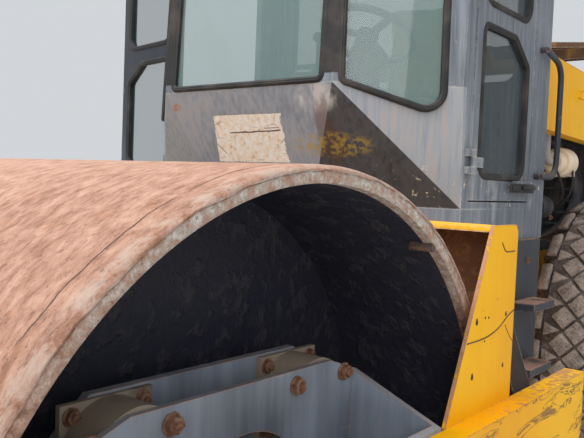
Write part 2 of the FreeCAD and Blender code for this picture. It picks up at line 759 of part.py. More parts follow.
def bent_tube(points, radius):
    """A tube along straight runs joined by arcs; points are (x, y, z, bend radius)."""
    spots = [Vector(*[float(c) for c in p[:3]]) for p in points]
    edges = []
    start = spots[0]
    for i in range(1, len(spots) - 1):
        near, middle, far, _ = corner_arc(spots[i - 1], spots[i], spots[i + 1], float(points[i][3]))
        edges.append(Part.LineSegment(start, near).toShape())
        edges.append(Part.Arc(near, middle, far).toShape())
        start = far
    edges.append(Part.LineSegment(start, spots[-1]).toShape())
    ring = Part.Circle(spots[0], spots[1] - spots[0], float(radius)).toShape()
    return Part.Wire(edges).makePipeShell([Part.Wire([ring])], True, True)


def on_side(side, low, high):
    """A (low, high) pair on one side of the middle."""
    return (low, high) if side > 0 else (-high, -low)


# Front frame


def build_side_beams():
    for name, side in SIDES:
        outline = (
            (S.beam_front, S.beam_bottom),
            (S.beam_rear - S.beam_tail_cut, S.beam_bottom),
            (S.beam_rear, S.beam_bottom + S.beam_tail_cut),
            (S.beam_rear, S.beam_top),
            (S.beam_front, S.beam_top),
        )
        across = on_side(side, S.beam_inside, S.beam_inside + S.beam_width)
        eye = (S.beam_front + S.eye_inset, S.beam_bottom + S.eye_inset, S.eye_radius)
        node(f"side_beam_{name}", plate("YZ", outline, *across, [eye]))


def build_front_crossmember():
    rear = S.beam_front + S.front_cross_depth
    outline = (
        (S.beam_front, S.beam_bottom),
        (rear, S.beam_bottom),
        (rear, S.front_cross_top),
        (S.beam_front, S.front_cross_top, S.front_cross_round),
    )
    beam = plate("YZ", outline, -S.beam_inside, S.beam_inside)
    node("front_crossmember", beam)


def build_rear_crossmember():
    top = S.cross_top - S.flange_wall
    beam = (
        (-S.beam_inside, S.beam_bottom),
        (S.beam_inside, S.beam_bottom),
        (S.beam_inside, S.cross_end_top),
        (S.column_out, S.column_top),
        (S.cross_tall_from, S.column_top),
        (S.cross_low_to, S.cross_low),
        (-S.cross_low_to, S.cross_low),
        (-S.cross_tall_from, S.column_top),
        (-S.column_out, S.column_top),
        (-S.beam_inside, S.cross_end_top),
    )
    pieces = [plate("XZ", beam, S.cross_front, S.cross_rear)]
    for _, side in SIDES:
        across = on_side(side, S.cross_tall_from, S.beam_inside - S.gusset_wall)
        pieces.append(box(across, (S.web_front, S.web_rear), (S.gusset_foot, top)))
        pieces.append(box(across, (S.web_front - S.flange_run, S.web_rear), (top, S.cross_top)))
        column = on_side(side, S.cross_tall_from, S.column_out)
        pieces.append(box(column, (S.web_rear, S.cross_front), (S.gusset_foot, S.column_top)))
    node("rear_crossmember", joined(*pieces))


def build_gussets():
    rear = S.web_rear
    plates = []
    for _, side in SIDES:
        outline = (
            (S.gusset_foot_front, S.gusset_foot),
            (rear, S.gusset_foot),
            (rear, S.cross_top - S.flange_wall),
            (S.gusset_peak_rear, S.gusset_peak),
            (S.gusset_peak_front, S.gusset_peak),
            (S.gusset_foot_front, S.beam_top),
        )
        across = on_side(side, S.beam_inside - S.gusset_wall, S.beam_inside)
        plates.append(plate("YZ", outline, *across))
    node("gussets", group(*plates))


def build_drum_brackets():
    inner = S.bracket_inside
    outer = S.beam_inside
    wall = S.bracket_wall
    flange = outer - wall
    foot = S.bracket_foot
    end = foot - S.bracket_flange
    for name, side in SIDES:
        # A hat section seen from above, its feet turned in, cut to its height by two side views
        half = (
            (inner, S.bracket_bend),
            (outer, foot),
            (outer, end),
            (flange, end),
            (flange, foot - wall * 1.3),
            (inner + wall, S.bracket_bend - wall),
        )
        rear = [(side * x, y) for x, y in half]
        front = [(side * x, -y) for x, y in reversed(half)]
        hat = plate("XY", rear + front, S.bracket_bottom, S.bracket_top)
        reach = foot + wall
        side_view = (
            (-reach, S.bracket_bottom - wall),
            (reach, S.bracket_bottom - wall),
            (reach, S.bracket_shoulder),
            (S.bracket_bend, S.bracket_shoulder),
            (S.bracket_flat, S.bracket_top),
            (-S.bracket_flat, S.bracket_top),
            (-S.bracket_bend, S.bracket_shoulder),
            (-reach, S.bracket_shoulder),
        )
        low, high = on_side(side, inner - wall, outer + wall)
        axle = (0, S.drum_radius, S.bracket_hole)
        side_cut = plate("YZ", side_view, low, high, [axle])
        end_view = (
            (side * (inner - wall), S.bracket_bottom - wall),
            (side * (inner - wall), S.bracket_top + wall),
            (side * (inner + wall), S.bracket_top + wall),
            (side * (inner + wall), S.bracket_shoulder),
            (side * outer, S.bracket_outer_top),
            (side * (outer + wall), S.bracket_outer_top),
            (side * (outer + wall), S.bracket_bottom - wall),
        )
        end_cut = plate("XZ", end_view, -reach, reach)
        node(f"drum_bracket_{name}", common(common(hat, side_cut), end_cut))


def build_mount_plates():
    axle = S.drum_radius
    out = S.bracket_inside - S.mount_inset
    mounts = []
    for _, side in SIDES:
        low, high = on_side(side, out - S.plate_wall, out)
        cut_y = S.plate_half - S.plate_corner
        cut_z = S.plate_rise - S.plate_corner
        outline = (
            (-S.plate_half, axle - cut_z),
            (-cut_y, axle - S.plate_rise),
            (cut_y, axle - S.plate_rise),
            (S.plate_half, axle - cut_z),
            (S.plate_half, axle + cut_z),
            (cut_y, axle + S.plate_rise),
            (-cut_y, axle + S.plate_rise),
            (-S.plate_half, axle + cut_z),
        )
        panel = plate("YZ", outline, low, high)
        start = S.head_outside + S.journal_length + S.run_gap
        housing = cylinder("X", (0, axle), S.bearing_radius, *on_side(side, start, out - S.plate_wall))
        motor = cylinder("X", (0, axle), S.motor_radius, *on_side(side, out, out + S.motor_length))
        mounts.append(joined(panel, housing, motor))
    node("drum_mounts", group(*mounts))


def build_buffers():
    inner = S.bracket_inside - S.mount_inset
    half = S.buffer_flange / 2
    wall = S.buffer_flange_wall
    buffers = []
    for _, side in SIDES:
        for forward in (-1, 1):
            for up in (-1, 1):
                y = forward * S.buffer_out
                z = S.drum_radius + up * S.buffer_up
                body = cylinder("X", (y, z), S.buffer_radius, *on_side(side, inner, S.bracket_inside))
                flange = box(on_side(side, inner, inner + wall), (y - half, y + half), (z - half, z + half))
                buffers.append(joined(body, flange))
    node("drum_buffers", group(*buffers))


def build_scrapers():
    reach = S.drum_radius + S.scraper_gap
    angle = math.radians(float(S.scraper_angle))
    tip_out = reach * math.cos(angle)
    tip_up = S.drum_radius - reach * math.sin(angle)
    wall = S.scraper_wall
    front_face = S.beam_front + S.front_cross_depth
    scrapers = []
    for way, face in ((-1, -front_face), (1, S.cross_front)):
        blade = (
            (way * tip_out, tip_up),
            (way * face, S.scraper_root - wall),
            (way * face, S.scraper_root),
            (way * (tip_out + S.scraper_bevel), tip_up + wall),
        )
        pieces = [plate("YZ", blade, -S.scraper_half, S.scraper_half)]
        fall = (S.scraper_root - wall - tip_up) / (face - tip_out)
        rib = (
            (way * face, S.scraper_root - wall),
            (way * (face - S.rib_reach), S.scraper_root - wall - fall * S.rib_reach),
            (way * face, S.beam_bottom + S.rib_foot),
        )
        for share in (-0.8, -0.4, 0, 0.4, 0.8):
            middle = S.scraper_half * share
            pieces.append(plate("YZ", rib, middle - S.scraper_rib / 2, middle + S.scraper_rib / 2))
        scrapers.append(joined(*pieces))
    node("drum_scrapers", group(*scrapers))


# Drum


def build_drum():
    axle = (0, 0, S.drum_radius)
    inner = S.drum_radius - S.drum_wall
    profile = (
        (inner, -S.drum_half),
        (S.drum_radius, -S.drum_half, S.drum_edge),
        (S.drum_radius, S.drum_half, S.drum_edge),
        (inner, S.drum_half),
    )
    shell = turned("X", profile, axle)
    pegs = []
    turn = math.radians(float(S.peg_angle))
    ring = inner - S.peg_radius + S.peg_weld
    for _, side in SIDES:
        end = S.drum_half - S.peg_inset
        span = on_side(side, end - S.peg_length, end)
        spot = (ring * math.cos(turn), S.drum_radius + ring * math.sin(turn))
        pegs.append(cylinder("X", spot, S.peg_radius, *span))
    node("drum_shell", joined(shell, *pegs))
    middle = S.head_outside - S.head_wall
    heads = []
    for _, side in SIDES:
        disc_span = on_side(side, middle, S.head_outside)
        journal_span = on_side(side, S.head_outside, S.head_outside + S.journal_length)
        disc = cylinder("X", (0, S.drum_radius), inner - S.seat_gap, *disc_span)
        journal = cylinder("X", (0, S.drum_radius), S.journal_radius, *journal_span)
        heads.append(joined(disc, journal))
    node("drum_heads", group(*heads))
    node("drum_exciter", cylinder("X", (0, S.drum_radius), S.exciter_radius, -middle, middle))


# Articulation


def build_clevis():
    face = S.cross_front + S.cross_depth
    nose = S.pivot_back + S.ear_nose
    outline = (
        (-S.ear_root, face),
        (S.ear_root, face),
        (S.ear_nose, nose, S.ear_nose - 1),
        (-S.ear_nose, nose, S.ear_nose - 1),
    )
    bore = (0, S.pivot_back, S.pin_radius + S.run_gap)
    ears = []
    for up in (-1, 1):
        near = S.pivot_height + up * S.ear_spread
        far = near + up * S.ear_wall
        low, high = (near, far) if up > 0 else (far, near)
        ears.append(plate("XY", outline, low, high, [bore]))
    reach = S.jack_eye_y + S.jack_eye
    for _, side in SIDES:
        for up in (-1, 1):
            near = S.pivot_height + up * (S.jack_eye_wall / 2 + S.run_gap)
            far = near + up * S.jack_ear_wall
            low, high = (near, far) if up > 0 else (far, near)
            low_x, high_x = on_side(side, S.jack_eye_x - S.jack_eye, S.jack_eye_x + S.jack_eye)
            shape = (
                (low_x, face),
                (high_x, face),
                (high_x, reach, S.jack_eye - 1),
                (low_x, reach, S.jack_eye - 1),
            )
            ear = plate("XY", shape, low, high)
            tip = far + up * S.jack_cap
            span = (far, tip) if up > 0 else (tip, far)
            cap = cylinder("Z", (side * S.jack_eye_x, S.jack_eye_y), S.jack_pin, *span)
            ears.append(joined(ear, cap))
    node("steering_clevis", group(*ears))


def build_centre_link():
    up = S.ear_spread - S.run_gap
    at = (0, S.pivot_back)
    middle = S.pivot_height
    hub = cylinder("Z", at, S.link_hub, middle - up, middle + up)
    top = S.ear_spread + S.ear_wall + S.run_gap
    pin = cylinder("Z", at, S.pin_radius, middle - top, middle + top)
    caps = [
        cylinder("Z", at, S.pin_cap, middle + top, middle + top + S.pin_cap_wall),
        cylinder("Z", at, S.pin_cap, middle - top - S.pin_cap_wall, middle - top),
    ]
    back = S.link_flange_back
    arm_z = (middle - up + S.link_step, middle + up - S.link_step)
    arm = box((-S.link_half, S.link_half), (S.pivot_back, back), arm_z)
    disc = cylinder("Y", (0, middle), S.link_flange, back, back + S.link_flange_wall)
    ears = []
    for _, side in SIDES:
        for way in (-1, 1):
            near = middle + way * (S.jack_eye_wall / 2 + S.run_gap)
            far = near + way * S.jack_ear_wall
            low, high = (near, far) if way > 0 else (far, near)
            low_x, high_x = on_side(side, S.jack_root_x - S.jack_eye, S.jack_root_x + S.jack_eye)
            tip = S.jack_root_y - S.jack_eye
            shape = (
                (low_x, back),
                (high_x, back),
                (high_x, tip, S.jack_eye - 1),
                (low_x, tip, S.jack_eye - 1),
            )
            bore = (side * S.jack_root_x, S.jack_root_y, S.jack_pin + S.run_gap)
            ears.append(plate("XY", shape, low, high, [bore]))
    end = S.chassis_front + S.bearing_length
    start = back + S.link_flange_wall
    trunnion = cylinder("Y", (0, middle), S.trunnion_radius, start, end + S.run_gap)
    retainer = cylinder(
        "Y",
        (0, middle),
        S.trunnion_radius + S.retainer_rim,
        end + S.run_gap,
        end + S.run_gap + S.retainer_wall,
    )
    node("centre_link", joined(hub, pin, *caps, arm, disc, *ears, trunnion, retainer))


def build_jacks():
    run = Vector(
        float(S.jack_eye_x - S.jack_root_x), float(S.jack_eye_y - S.jack_root_y), 0
    )
    length = run.Length
    turn = math.degrees(math.atan2(run.y, run.x))
    half = S.jack_eye_wall / 2
    for name, side in SIDES:
        root = Vector(side * float(S.jack_root_x), float(S.jack_root_y), float(S.pivot_height))
        heading = Rotation(Vector(0, 0, 1), turn if side > 0 else 180 - turn)
        lay = Placement(root, heading)
        eye = Part.makeCylinder(float(S.jack_eye), float(half * 2), Vector(0, 0, -float(half)))
        start = float(S.jack_eye + S.jack_bush)
        barrel = Part.makeCylinder(
            float(S.jack_radius), float(S.jack_barrel) - start, Vector(start, 0, 0), Vector(1, 0, 0)
        )
        neck_radius = float(half) * 0.93
        neck = Part.makeCylinder(neck_radius, start + float(S.run_gap), Vector(), Vector(1, 0, 0))
        bore = Part.makeCylinder(
            float(S.jack_rod + S.run_gap),
            float(S.jack_barrel),
            Vector(start + float(S.jack_end), 0, 0),
            Vector(1, 0, 0),
        )
        reach = float(half + S.run_gap + S.jack_ear_wall)
        pin = Part.makeCylinder(float(S.jack_pin), 2 * reach, Vector(0, 0, -reach))
        tube = eye.fuse([neck, barrel]).cut(bore).fuse(pin).removeSplitter()
        piece = held("barrel", tube)
        piece.Placement = lay
        node(f"steering_barrel_{name}", piece)
        start = float(S.jack_rod_inside)
        rod = Part.makeCylinder(float(S.jack_rod), length - start, Vector(start, 0, 0), Vector(1, 0, 0))
        ring = Part.makeCylinder(float(S.jack_eye), float(half * 2), Vector(length, 0, -float(half)))
        hole = Part.makeCylinder(float(S.jack_pin), float(half * 2), Vector(length, 0, -float(half)))
        piece = held("rod", rod.fuse(ring).cut(hole).removeSplitter())
        piece.Placement = lay
        node(f"steering_rod_{name}", piece)


# Rear chassis


def build_chassis():
    front = S.chassis_front
    rear = S.chassis_rear
    tail = S.chassis_rear_bottom + S.chassis_tail_cut
    over = (S.axle_back - S.chassis_arch_half, S.axle_back + S.chassis_arch_half)
    outline = (
        (front, S.chassis_front_bottom),
        (over[0] - S.arch_front_run, S.chassis_front_bottom),
        (over[0], S.chassis_arch),
        (over[1], S.chassis_arch),
        (over[1] + S.arch_rear_run, S.chassis_rear_bottom),
        (rear - S.chassis_tail_cut, S.chassis_rear_bottom),
        (rear, tail),
        (rear, S.chassis_top),
        (front, S.chassis_top),
    )
    pieces = []
    for _, side in SIDES:
        across = on_side(side, S.chassis_half - S.chassis_wall, S.chassis_half)
        pieces.append(plate("YZ", outline, *across))
    inside = S.chassis_half - S.chassis_wall
    span = (-inside, inside)
    wall = S.chassis_plate
    bore = (0, S.pivot_height, S.trunnion_radius + S.run_gap)
    front_plate = (
        (-inside, S.chassis_front_bottom),
        (inside, S.chassis_front_bottom),
        (inside, S.chassis_top),
        (-inside, S.chassis_top),
    )
    pieces.append(plate("XZ", front_plate, front, front + wall, [bore]))
    housing_front = S.link_flange_back + S.link_flange_wall + S.run_gap
    middle = (0, S.pivot_height)
    tube = cylinder("Y", middle, S.bearing_ring, housing_front, front + S.bearing_length)
    hollow = cylinder("Y", middle, S.trunnion_radius + S.run_gap, housing_front, front + S.bearing_length)
    pieces.append(cut(tube, hollow))
    ahead = over[0] - S.arch_front_run
    behind = over[1] + S.arch_rear_run
    pieces.append(box(span, (ahead, ahead + wall), (S.chassis_arch, S.engine_floor)))
    pieces.append(box(span, (behind, behind + wall), (S.chassis_rear_bottom, S.chassis_top)))
    pieces.append(box(span, (rear - wall, rear), (tail, S.chassis_top)))
    node("rear_chassis", joined(*pieces))
    deck = box(
        (-S.deck_half, S.deck_half), (S.deck_front, S.cab_rear), (S.chassis_top, S.chassis_top + S.deck_wall)
    )
    pads = [deck]
    for _, side in SIDES:
        for y in (S.deck_front + S.mount_pad_back, S.cab_rear - S.mount_pad_back):
            x = side * (S.deck_half - S.mount_pad_in)
            pads.append(cylinder("Z", (x, y), S.mount_pad, S.chassis_top + S.deck_wall, S.cab_floor))
    node("cab_deck", joined(*pads))


def build_axle():
    at = (S.axle_back, S.tyre_radius)
    end = S.disc_inside - S.run_gap
    tube = cylinder("X", at, S.axle_tube, -end, end)
    belly = cylinder("X", at, S.axle_belly, -S.axle_belly_half, S.axle_belly_half)
    pieces = [tube, belly]
    for _, side in SIDES:
        low = S.chassis_half - S.chassis_wall
        span = on_side(side, low, S.chassis_half)
        pad_y = (S.axle_back - S.axle_pad, S.axle_back + S.axle_pad)
        pieces.append(box(span, pad_y, (S.tyre_radius, S.chassis_arch)))
        pieces.append(cylinder("X", at, S.axle_spindle, *on_side(side, S.tyre_inside, end)))
    node("rear_axle", joined(*pieces))


def lug_grooves(edge, face, way, start):
    """Tools round a wheel at the origin: they cut the grooves between the lugs of one shoulder."""
    top = float(S.tyre_radius + S.groove_depth)
    floor = float(S.tyre_radius - S.groove_depth)
    low = float(S.tyre_shoulder - S.groove_depth)
    end = float(S.tyre_shoulder - S.groove_run)
    outside = face + way * float(S.rim_lip)
    corner = face - way * float(S.shoulder_inset)
    outline = [
        Vector(edge, 0, top),
        Vector(edge, 0, floor),
        Vector(corner, 0, low),
        Vector(outside, 0, end),
        Vector(outside, 0, top),
    ]
    width = float(S.groove_width)
    slab = Part.Face(Part.makePolygon(outline + outline[:1])).extrude(Vector(0, width, 0))
    slab.translate(Vector(0, -width / 2, 0))
    count = int(float(S.lug_count))
    tools = []
    for i in range(count):
        tool = slab.copy()
        tool.rotate(Vector(), Vector(1, 0, 0), start + 360 * i / count)
        tools.append(tool)
    return tools


def build_tyre(side, axle):
    """A tyre with a smooth middle band and lugs on both shoulders, set half a pitch apart."""
    inside = S.tyre_inside
    outside = inside + S.tyre_width
    bulge = (S.tyre_bead + S.tyre_shoulder) / 2
    half = (
        (S.tyre_bead, inside + S.bead_inset),
        (bulge, inside, S.bulge_round),
        (S.tyre_shoulder, inside + S.shoulder_inset, S.shoulder_round),
        (S.tyre_radius, inside + S.tread_inset, S.tread_round),
        (S.tyre_radius, outside - S.tread_inset, S.tread_round),
        (S.tyre_shoulder, outside - S.shoulder_inset, S.shoulder_round),
        (bulge, outside, S.bulge_round),
        (S.tyre_bead, outside - S.bead_inset),
    )
    carcass = turned("X", [(p[0], side * p[1]) + tuple(p[2:]) for p in half], axle)
    middle = side * float(inside + S.tyre_width / 2)
    tools = []
    for way, start in ((1, 0.0), (-1, 180.0 / float(S.lug_count))):
        edge = middle + way * float(S.band_half)
        face = middle + way * float(S.tyre_width / 2)
        tools += lug_grooves(edge, face, way, start)
    return cut(carcass, place(held("grooves", Part.makeCompound(tools)), axle))


def build_rim(side, axle):
    """A wheel rim with its dished disc and hub."""
    seat = S.tyre_bead - S.seat_gap
    low = S.tyre_inside + S.rim_inset
    high = S.tyre_inside + S.tyre_width - S.rim_inset
    bore = seat - S.rim_wall
    slope = S.rim_lip + S.rim_slope
    hoop = (
        (bore, low),
        (S.rim_flange, low),
        (S.rim_flange, low + S.rim_lip),
        (seat, low + slope),
        (seat, high - slope),
        (S.rim_flange, high - S.rim_lip),
        (S.rim_flange, high),
        (bore, high),
    )
    face = S.disc_inside + S.disc_wall
    dish = (
        (S.wheel_hub - S.disc_wall, S.disc_inside),
        (S.disc_flat, S.disc_inside),
        (S.disc_turn, S.disc_inside + S.disc_dish),
        (bore + S.run_gap, S.disc_inside + S.disc_dish),
        (bore + S.run_gap, face + S.disc_dish),
        (S.disc_turn, face + S.disc_dish),
        (S.disc_flat, face),
        (S.wheel_hub - S.disc_wall, face),
    )
    pieces = [turned("X", [(radius, side * x) for radius, x in outline], axle) for outline in (hoop, dish)]
    hub = on_side(side, S.disc_inside, face + S.wheel_hub_length)
    pieces.append(cylinder("X", (S.axle_back, S.tyre_radius), S.wheel_hub, *hub))
    return joined(*pieces)


def build_wheels():
    axle = (0, S.axle_back, S.tyre_radius)
    for name, side in SIDES:
        node(f"tyre_{name}", build_tyre(side, axle))
        node(f"rim_{name}", build_rim(side, axle))


def build_tanks():
    tanks = []
    for _, side in SIDES:
        low, high = side * S.chassis_half, side * (S.step_plate_x - S.tank_inset)
        outline = (
            (low, S.tank_bottom),
            (high, S.tank_bottom, S.tank_round),
            (high, S.chassis_top, S.tank_round),
            (low, S.chassis_top),
        )
        if side < 0:
            outline = tuple(reversed(outline))
        tanks.append(plate("XZ", outline, S.tank_front, S.tank_rear))
    node("side_tanks", group(*tanks))


def build_steps():
    steps = []
    for _, side in SIDES:
        out = S.step_plate_x + S.step_plate_wall
        high = S.cab_floor
        pieces = [
            box(on_side(side, S.step_plate_x, out), (S.step_front, S.step_rear), (S.step_low, high))
        ]
        for z in (S.tread_upper, S.tread_lower):
            span = on_side(side, out, S.tread_out)
            pieces.append(box(span, (S.tread_front, S.tread_rear), (z, z + S.tread_wall)))
        # Two feet hold the plate on the tank
        span = on_side(side, S.step_plate_x - S.tank_inset, S.step_plate_x)
        for y in (S.tread_front, S.tread_rear - S.step_foot):
            high = S.tread_upper
            pieces.append(box(span, (y, y + S.step_foot), (high - S.step_foot, high)))
        steps.append(joined(*pieces))
    node("steps", group(*steps))


# Cab


def cab_points():
    """The corners of the cab's outside, on the driver's left."""
    lean = (S.side_waist_y - S.nose_waist_y) / (S.cab_half - S.nose_waist_half)
    eaves_y = S.nose_eaves_y + lean * (S.cab_half - S.nose_eaves_half)
    points = {
        "nose_base": (S.nose_base_half, S.nose_base_y, S.cab_base),
        "side_base": (S.cab_half, S.side_base_y, S.cab_base),
        "rear_base": (S.cab_half, S.cab_rear, S.cab_base),
        "nose_waist": (S.nose_waist_half, S.nose_waist_y, S.cab_waist),
        "side_waist": (S.cab_half, S.side_waist_y, S.cab_waist),
        "nose_eaves": (S.nose_eaves_half, S.nose_eaves_y, S.cab_eaves),
        "side_eaves": (S.cab_half, eaves_y, S.cab_eaves),
        "rear_eaves": (S.cab_half, S.cab_rear, S.cab_eaves),
    }
    return {name: Vector(*[float(c) for c in p]) for name, p in points.items()}


# The cab's faces; a corner that starts with a minus is on the driver's right
CAB_MIDDLE_FACES = (
    ("nose_base", "-nose_base", "-nose_waist", "nose_waist"),
    ("nose_waist", "-nose_waist", "-nose_eaves", "nose_eaves"),
    ("nose_base", "side_base", "rear_base", "-rear_base", "-side_base", "-nose_base"),
    ("nose_eaves", "side_eaves", "rear_eaves", "-rear_eaves", "-side_eaves", "-nose_eaves"),
    ("rear_base", "-rear_base", "-rear_eaves", "rear_eaves"),
)
CAB_SIDE_FACES = (
    ("nose_base", "side_base", "nose_waist"),
    ("side_base", "side_waist", "nose_waist"),
    ("nose_waist", "side_waist", "side_eaves", "nose_eaves"),
    ("side_base", "rear_base", "rear_eaves", "side_eaves", "side_waist"),
)


def cab_block(points):
    """A closed block through the cab's corners."""

    def spot(name, flip):
        point = points[name.lstrip("-")]
        side = -1 if name.startswith("-") else 1
        return Vector(point.x * side * flip, point.y, point.z)

    faces = []
    for names in CAB_MIDDLE_FACES:
        corners = [spot(n, 1) for n in names]
        faces.append(Part.Face(Part.makePolygon(corners + corners[:1])))
    for names in CAB_SIDE_FACES:
        for flip in (1, -1):
            corners = [spot(n, flip) for n in names]
            faces.append(Part.Face(Part.makePolygon(corners + corners[:1])))
    return Part.makeSolid(Part.makeShell(faces))


def cab_inside(points):
    """The cab's corners moved in by its wall, with every face still flat."""
    wall = float(S.cab_wall)
    low = Vector(-float(S.cab_half), float(S.nose_waist_y), float(S.cab_base))
    high = Vector(float(S.cab_half), float(S.cab_rear), float(S.cab_eaves))
    middle = (low + high) * 0.5
    half = (high - low) * 0.5
    share = Vector(*[1 - wall / c for c in (half.x, half.y, half.z)])
    moved = {}
    for name, point in points.items():
        away = point - middle
        moved[name] = middle + Vector(away.x * share.x, away.y * share.y, away.z * share.z)
    return moved


def on_wall(first, second, third):
    """A placement whose X runs from first to second, with third above it and Z out of the wall."""
    along = (second - first).normalize()
    up = third - first
    out = along.cross(up).normalize()
    up = out.cross(along)
    turn = Rotation(along, up, out, "ZXY")
    return Placement(first, turn)


def flat_outline(corners):
    """A closed wire in the XY plane from (x, y, rounding) corners."""
    flat = [Vector(float(c[0]), float(c[1]), 0) for c in corners]
    count = len(flat)
    arcs = []
    for i, corner in enumerate(corners):
        arcs.append(corner_arc(flat[i - 1], flat[i], flat[(i + 1) % count], float(corner[2])))
    edges = []
    for i, (start, middle, end, _) in enumerate(arcs):
        edges.append(Part.Arc(start, middle, end).toShape())
        edges.append(Part.LineSegment(end, arcs[(i + 1) % count][0]).toShape())
    return Part.Wire(edges)


def wall_cutter(lay, corners, depth, inset=0.0):
    """A slab through a wall with a rounded outline, from just outside it to depth inside."""
    wire = flat_outline(corners)
    face = Part.Face(wire)
    slab = face.extrude(Vector(0, 0, -depth))
    slab.translate(Vector(0, 0, -inset))
    slab.Placement = lay.multiply(slab.Placement)
    return slab


def window_outlines(points):
    """Each window: its name, the wall it lies in, and its corners in that wall."""
    frame = float(S.window_frame)
    bend = float(S.window_round)
    mirrored = {n: Vector(-p.x, p.y, p.z) for n, p in points.items()}
    left, right = points, mirrored
    out = []
    wide = (left["nose_waist"] - right["nose_waist"]).Length
    tall = (left["nose_eaves"] - left["nose_waist"]).Length
    lay = on_wall(right["nose_waist"], left["nose_waist"], left["nose_eaves"])
    narrow = float(S.nose_waist_half - S.nose_eaves_half)
    sill = float(S.window_sill)
    corners = (
        (frame, sill, bend / 3),
        (wide - frame, sill, bend / 3),
        (wide - frame - narrow, tall - frame, bend),
        (frame + narrow, tall - frame, bend),
    )
    out.append(("front", lay, corners))
    for name, side in (("left", left), ("right", right)):
        wide = (side["side_waist"] - side["nose_waist"]).Length
        flip = name == "right"
        start, end = ("side_waist", "nose_waist") if flip else ("nose_waist", "side_waist")
        lay = on_wall(side[start], side[end], side["nose_eaves"] if flip else side["side_eaves"])
        drop = float(S.cab_waist - S.side_window_dip)
        front, rear = float(S.side_window_front), wide - float(S.side_window_rear)
        corners = [
            (front, float(S.side_sill), bend / 3),
            (rear, -drop, bend),
            (rear, tall - frame, bend),
            (front, tall - frame, bend),
        ]
        if flip:
            corners = [(wide - x, y, r) for x, y, r in reversed(corners)]
        out.append((name, lay, corners))
    wide = 2 * float(S.cab_half)
    lay = on_wall(left["rear_base"], right["rear_base"], right["rear_eaves"])
    sill = float(S.cab_waist - S.cab_base + S.rear_sill)
    high = float(S.cab_eaves - S.cab_base - S.rear_window_top)
    edge = float(S.rear_window_in)
    corners = (
        (edge, sill, bend),
        (wide - edge, sill, bend),
        (wide - edge, high, bend),
        (edge, high, bend),
    )
    out.append(("rear", lay, corners))
    return out


def build_cab():
    points = cab_points()
    outer = cab_block(points)
    shell = outer.cut(cab_block(cab_inside(points)))
    wall = float(S.cab_wall)
    half = float(S.cab_half)
    gap = float(S.door_gap)
    front, rear = float(S.door_front) - gap, float(S.door_rear) + gap
    low, high = float(S.door_bottom) - gap, float(S.door_top) + gap
    for side in (1, -1):
        hole = Part.makeBox(wall * 3, rear - front, high - low, Vector(half - wall * 2, front, low))
        if side < 0:
            hole = hole.mirror(Vector(), Vector(1, 0, 0))
        shell = shell.cut(hole)
    glass = []
    for _, lay, corners in window_outlines(points):
        shell = shell.cut(wall_cutter(lay, corners, wall * 3, -wall))
        glass.append(wall_cutter(lay, corners, float(S.glass_wall), wall / 3))
    shell = shell.removeSplitter()
    front_zone = Part.makeBox(
        4 * half,
        float(S.side_base_y - S.nose_waist_y) + half,
        float(S.cab_waist - S.cab_base) + half,
        Vector(-2 * half, float(S.nose_waist_y) - half, float(S.cab_base) - half),
    )
    node("cab_nose", held("cab_nose", shell.common(front_zone)))
    node("cab_frame", held("cab_frame", shell.cut(front_zone)))
    node("cab_glass", held("cab_glass", Part.makeCompound(glass)))
    base = (
        (-S.nose_base_half, S.nose_base_y),
        (S.nose_base_half, S.nose_base_y),
        (S.cab_half, S.side_base_y),
        (S.cab_half, S.cab_rear),
        (-S.cab_half, S.cab_rear),
        (-S.cab_half, S.side_base_y),
    )
    node("cab_base", plate("XY", base, S.cab_floor, S.cab_base))
    over = S.roof_overhang
    eaves_y = float(points["side_eaves"].y)
    roof = (
        (-S.nose_eaves_half - over, S.nose_eaves_y - over, S.roof_round),
        (S.nose_eaves_half + over, S.nose_eaves_y - over, S.roof_round),
        (S.cab_half + over, eaves_y - over, S.roof_round),
        (S.cab_half + over, S.cab_rear + over, S.roof_round),
        (-S.cab_half - over, S.cab_rear + over, S.roof_round),
        (-S.cab_half - over, eaves_y - over, S.roof_round),
    )
    node("cab_roof", plate("XY", roof, S.cab_eaves, S.cab_eaves + S.roof_wall))


def door_windows():
    """The door's two windows as (y, z, rounding) corners."""
    front = float(S.door_front + S.door_frame)
    rear = float(S.door_rear - S.door_frame)
    low = float(S.door_bottom + S.door_sill)
    seam = float(S.door_seam)
    bend = float(S.window_round)
    corner = float(S.door_corner)
    below = float(S.seam_below)
    above = float(S.seam_above)
    lower = (
        (front, low, bend),
        (rear, low, bend),
        (rear, seam - corner, bend / 2),
        (rear - corner, seam - below, bend / 2),
        (front, seam - below, bend / 2),
    )
    top = float(S.door_top) - float(S.door_frame)
    upper = (
        (front, seam + above, bend),
        (rear, seam + above, bend),
        (rear, top, bend),
        (front, top, bend),
    )
    return lower, upper


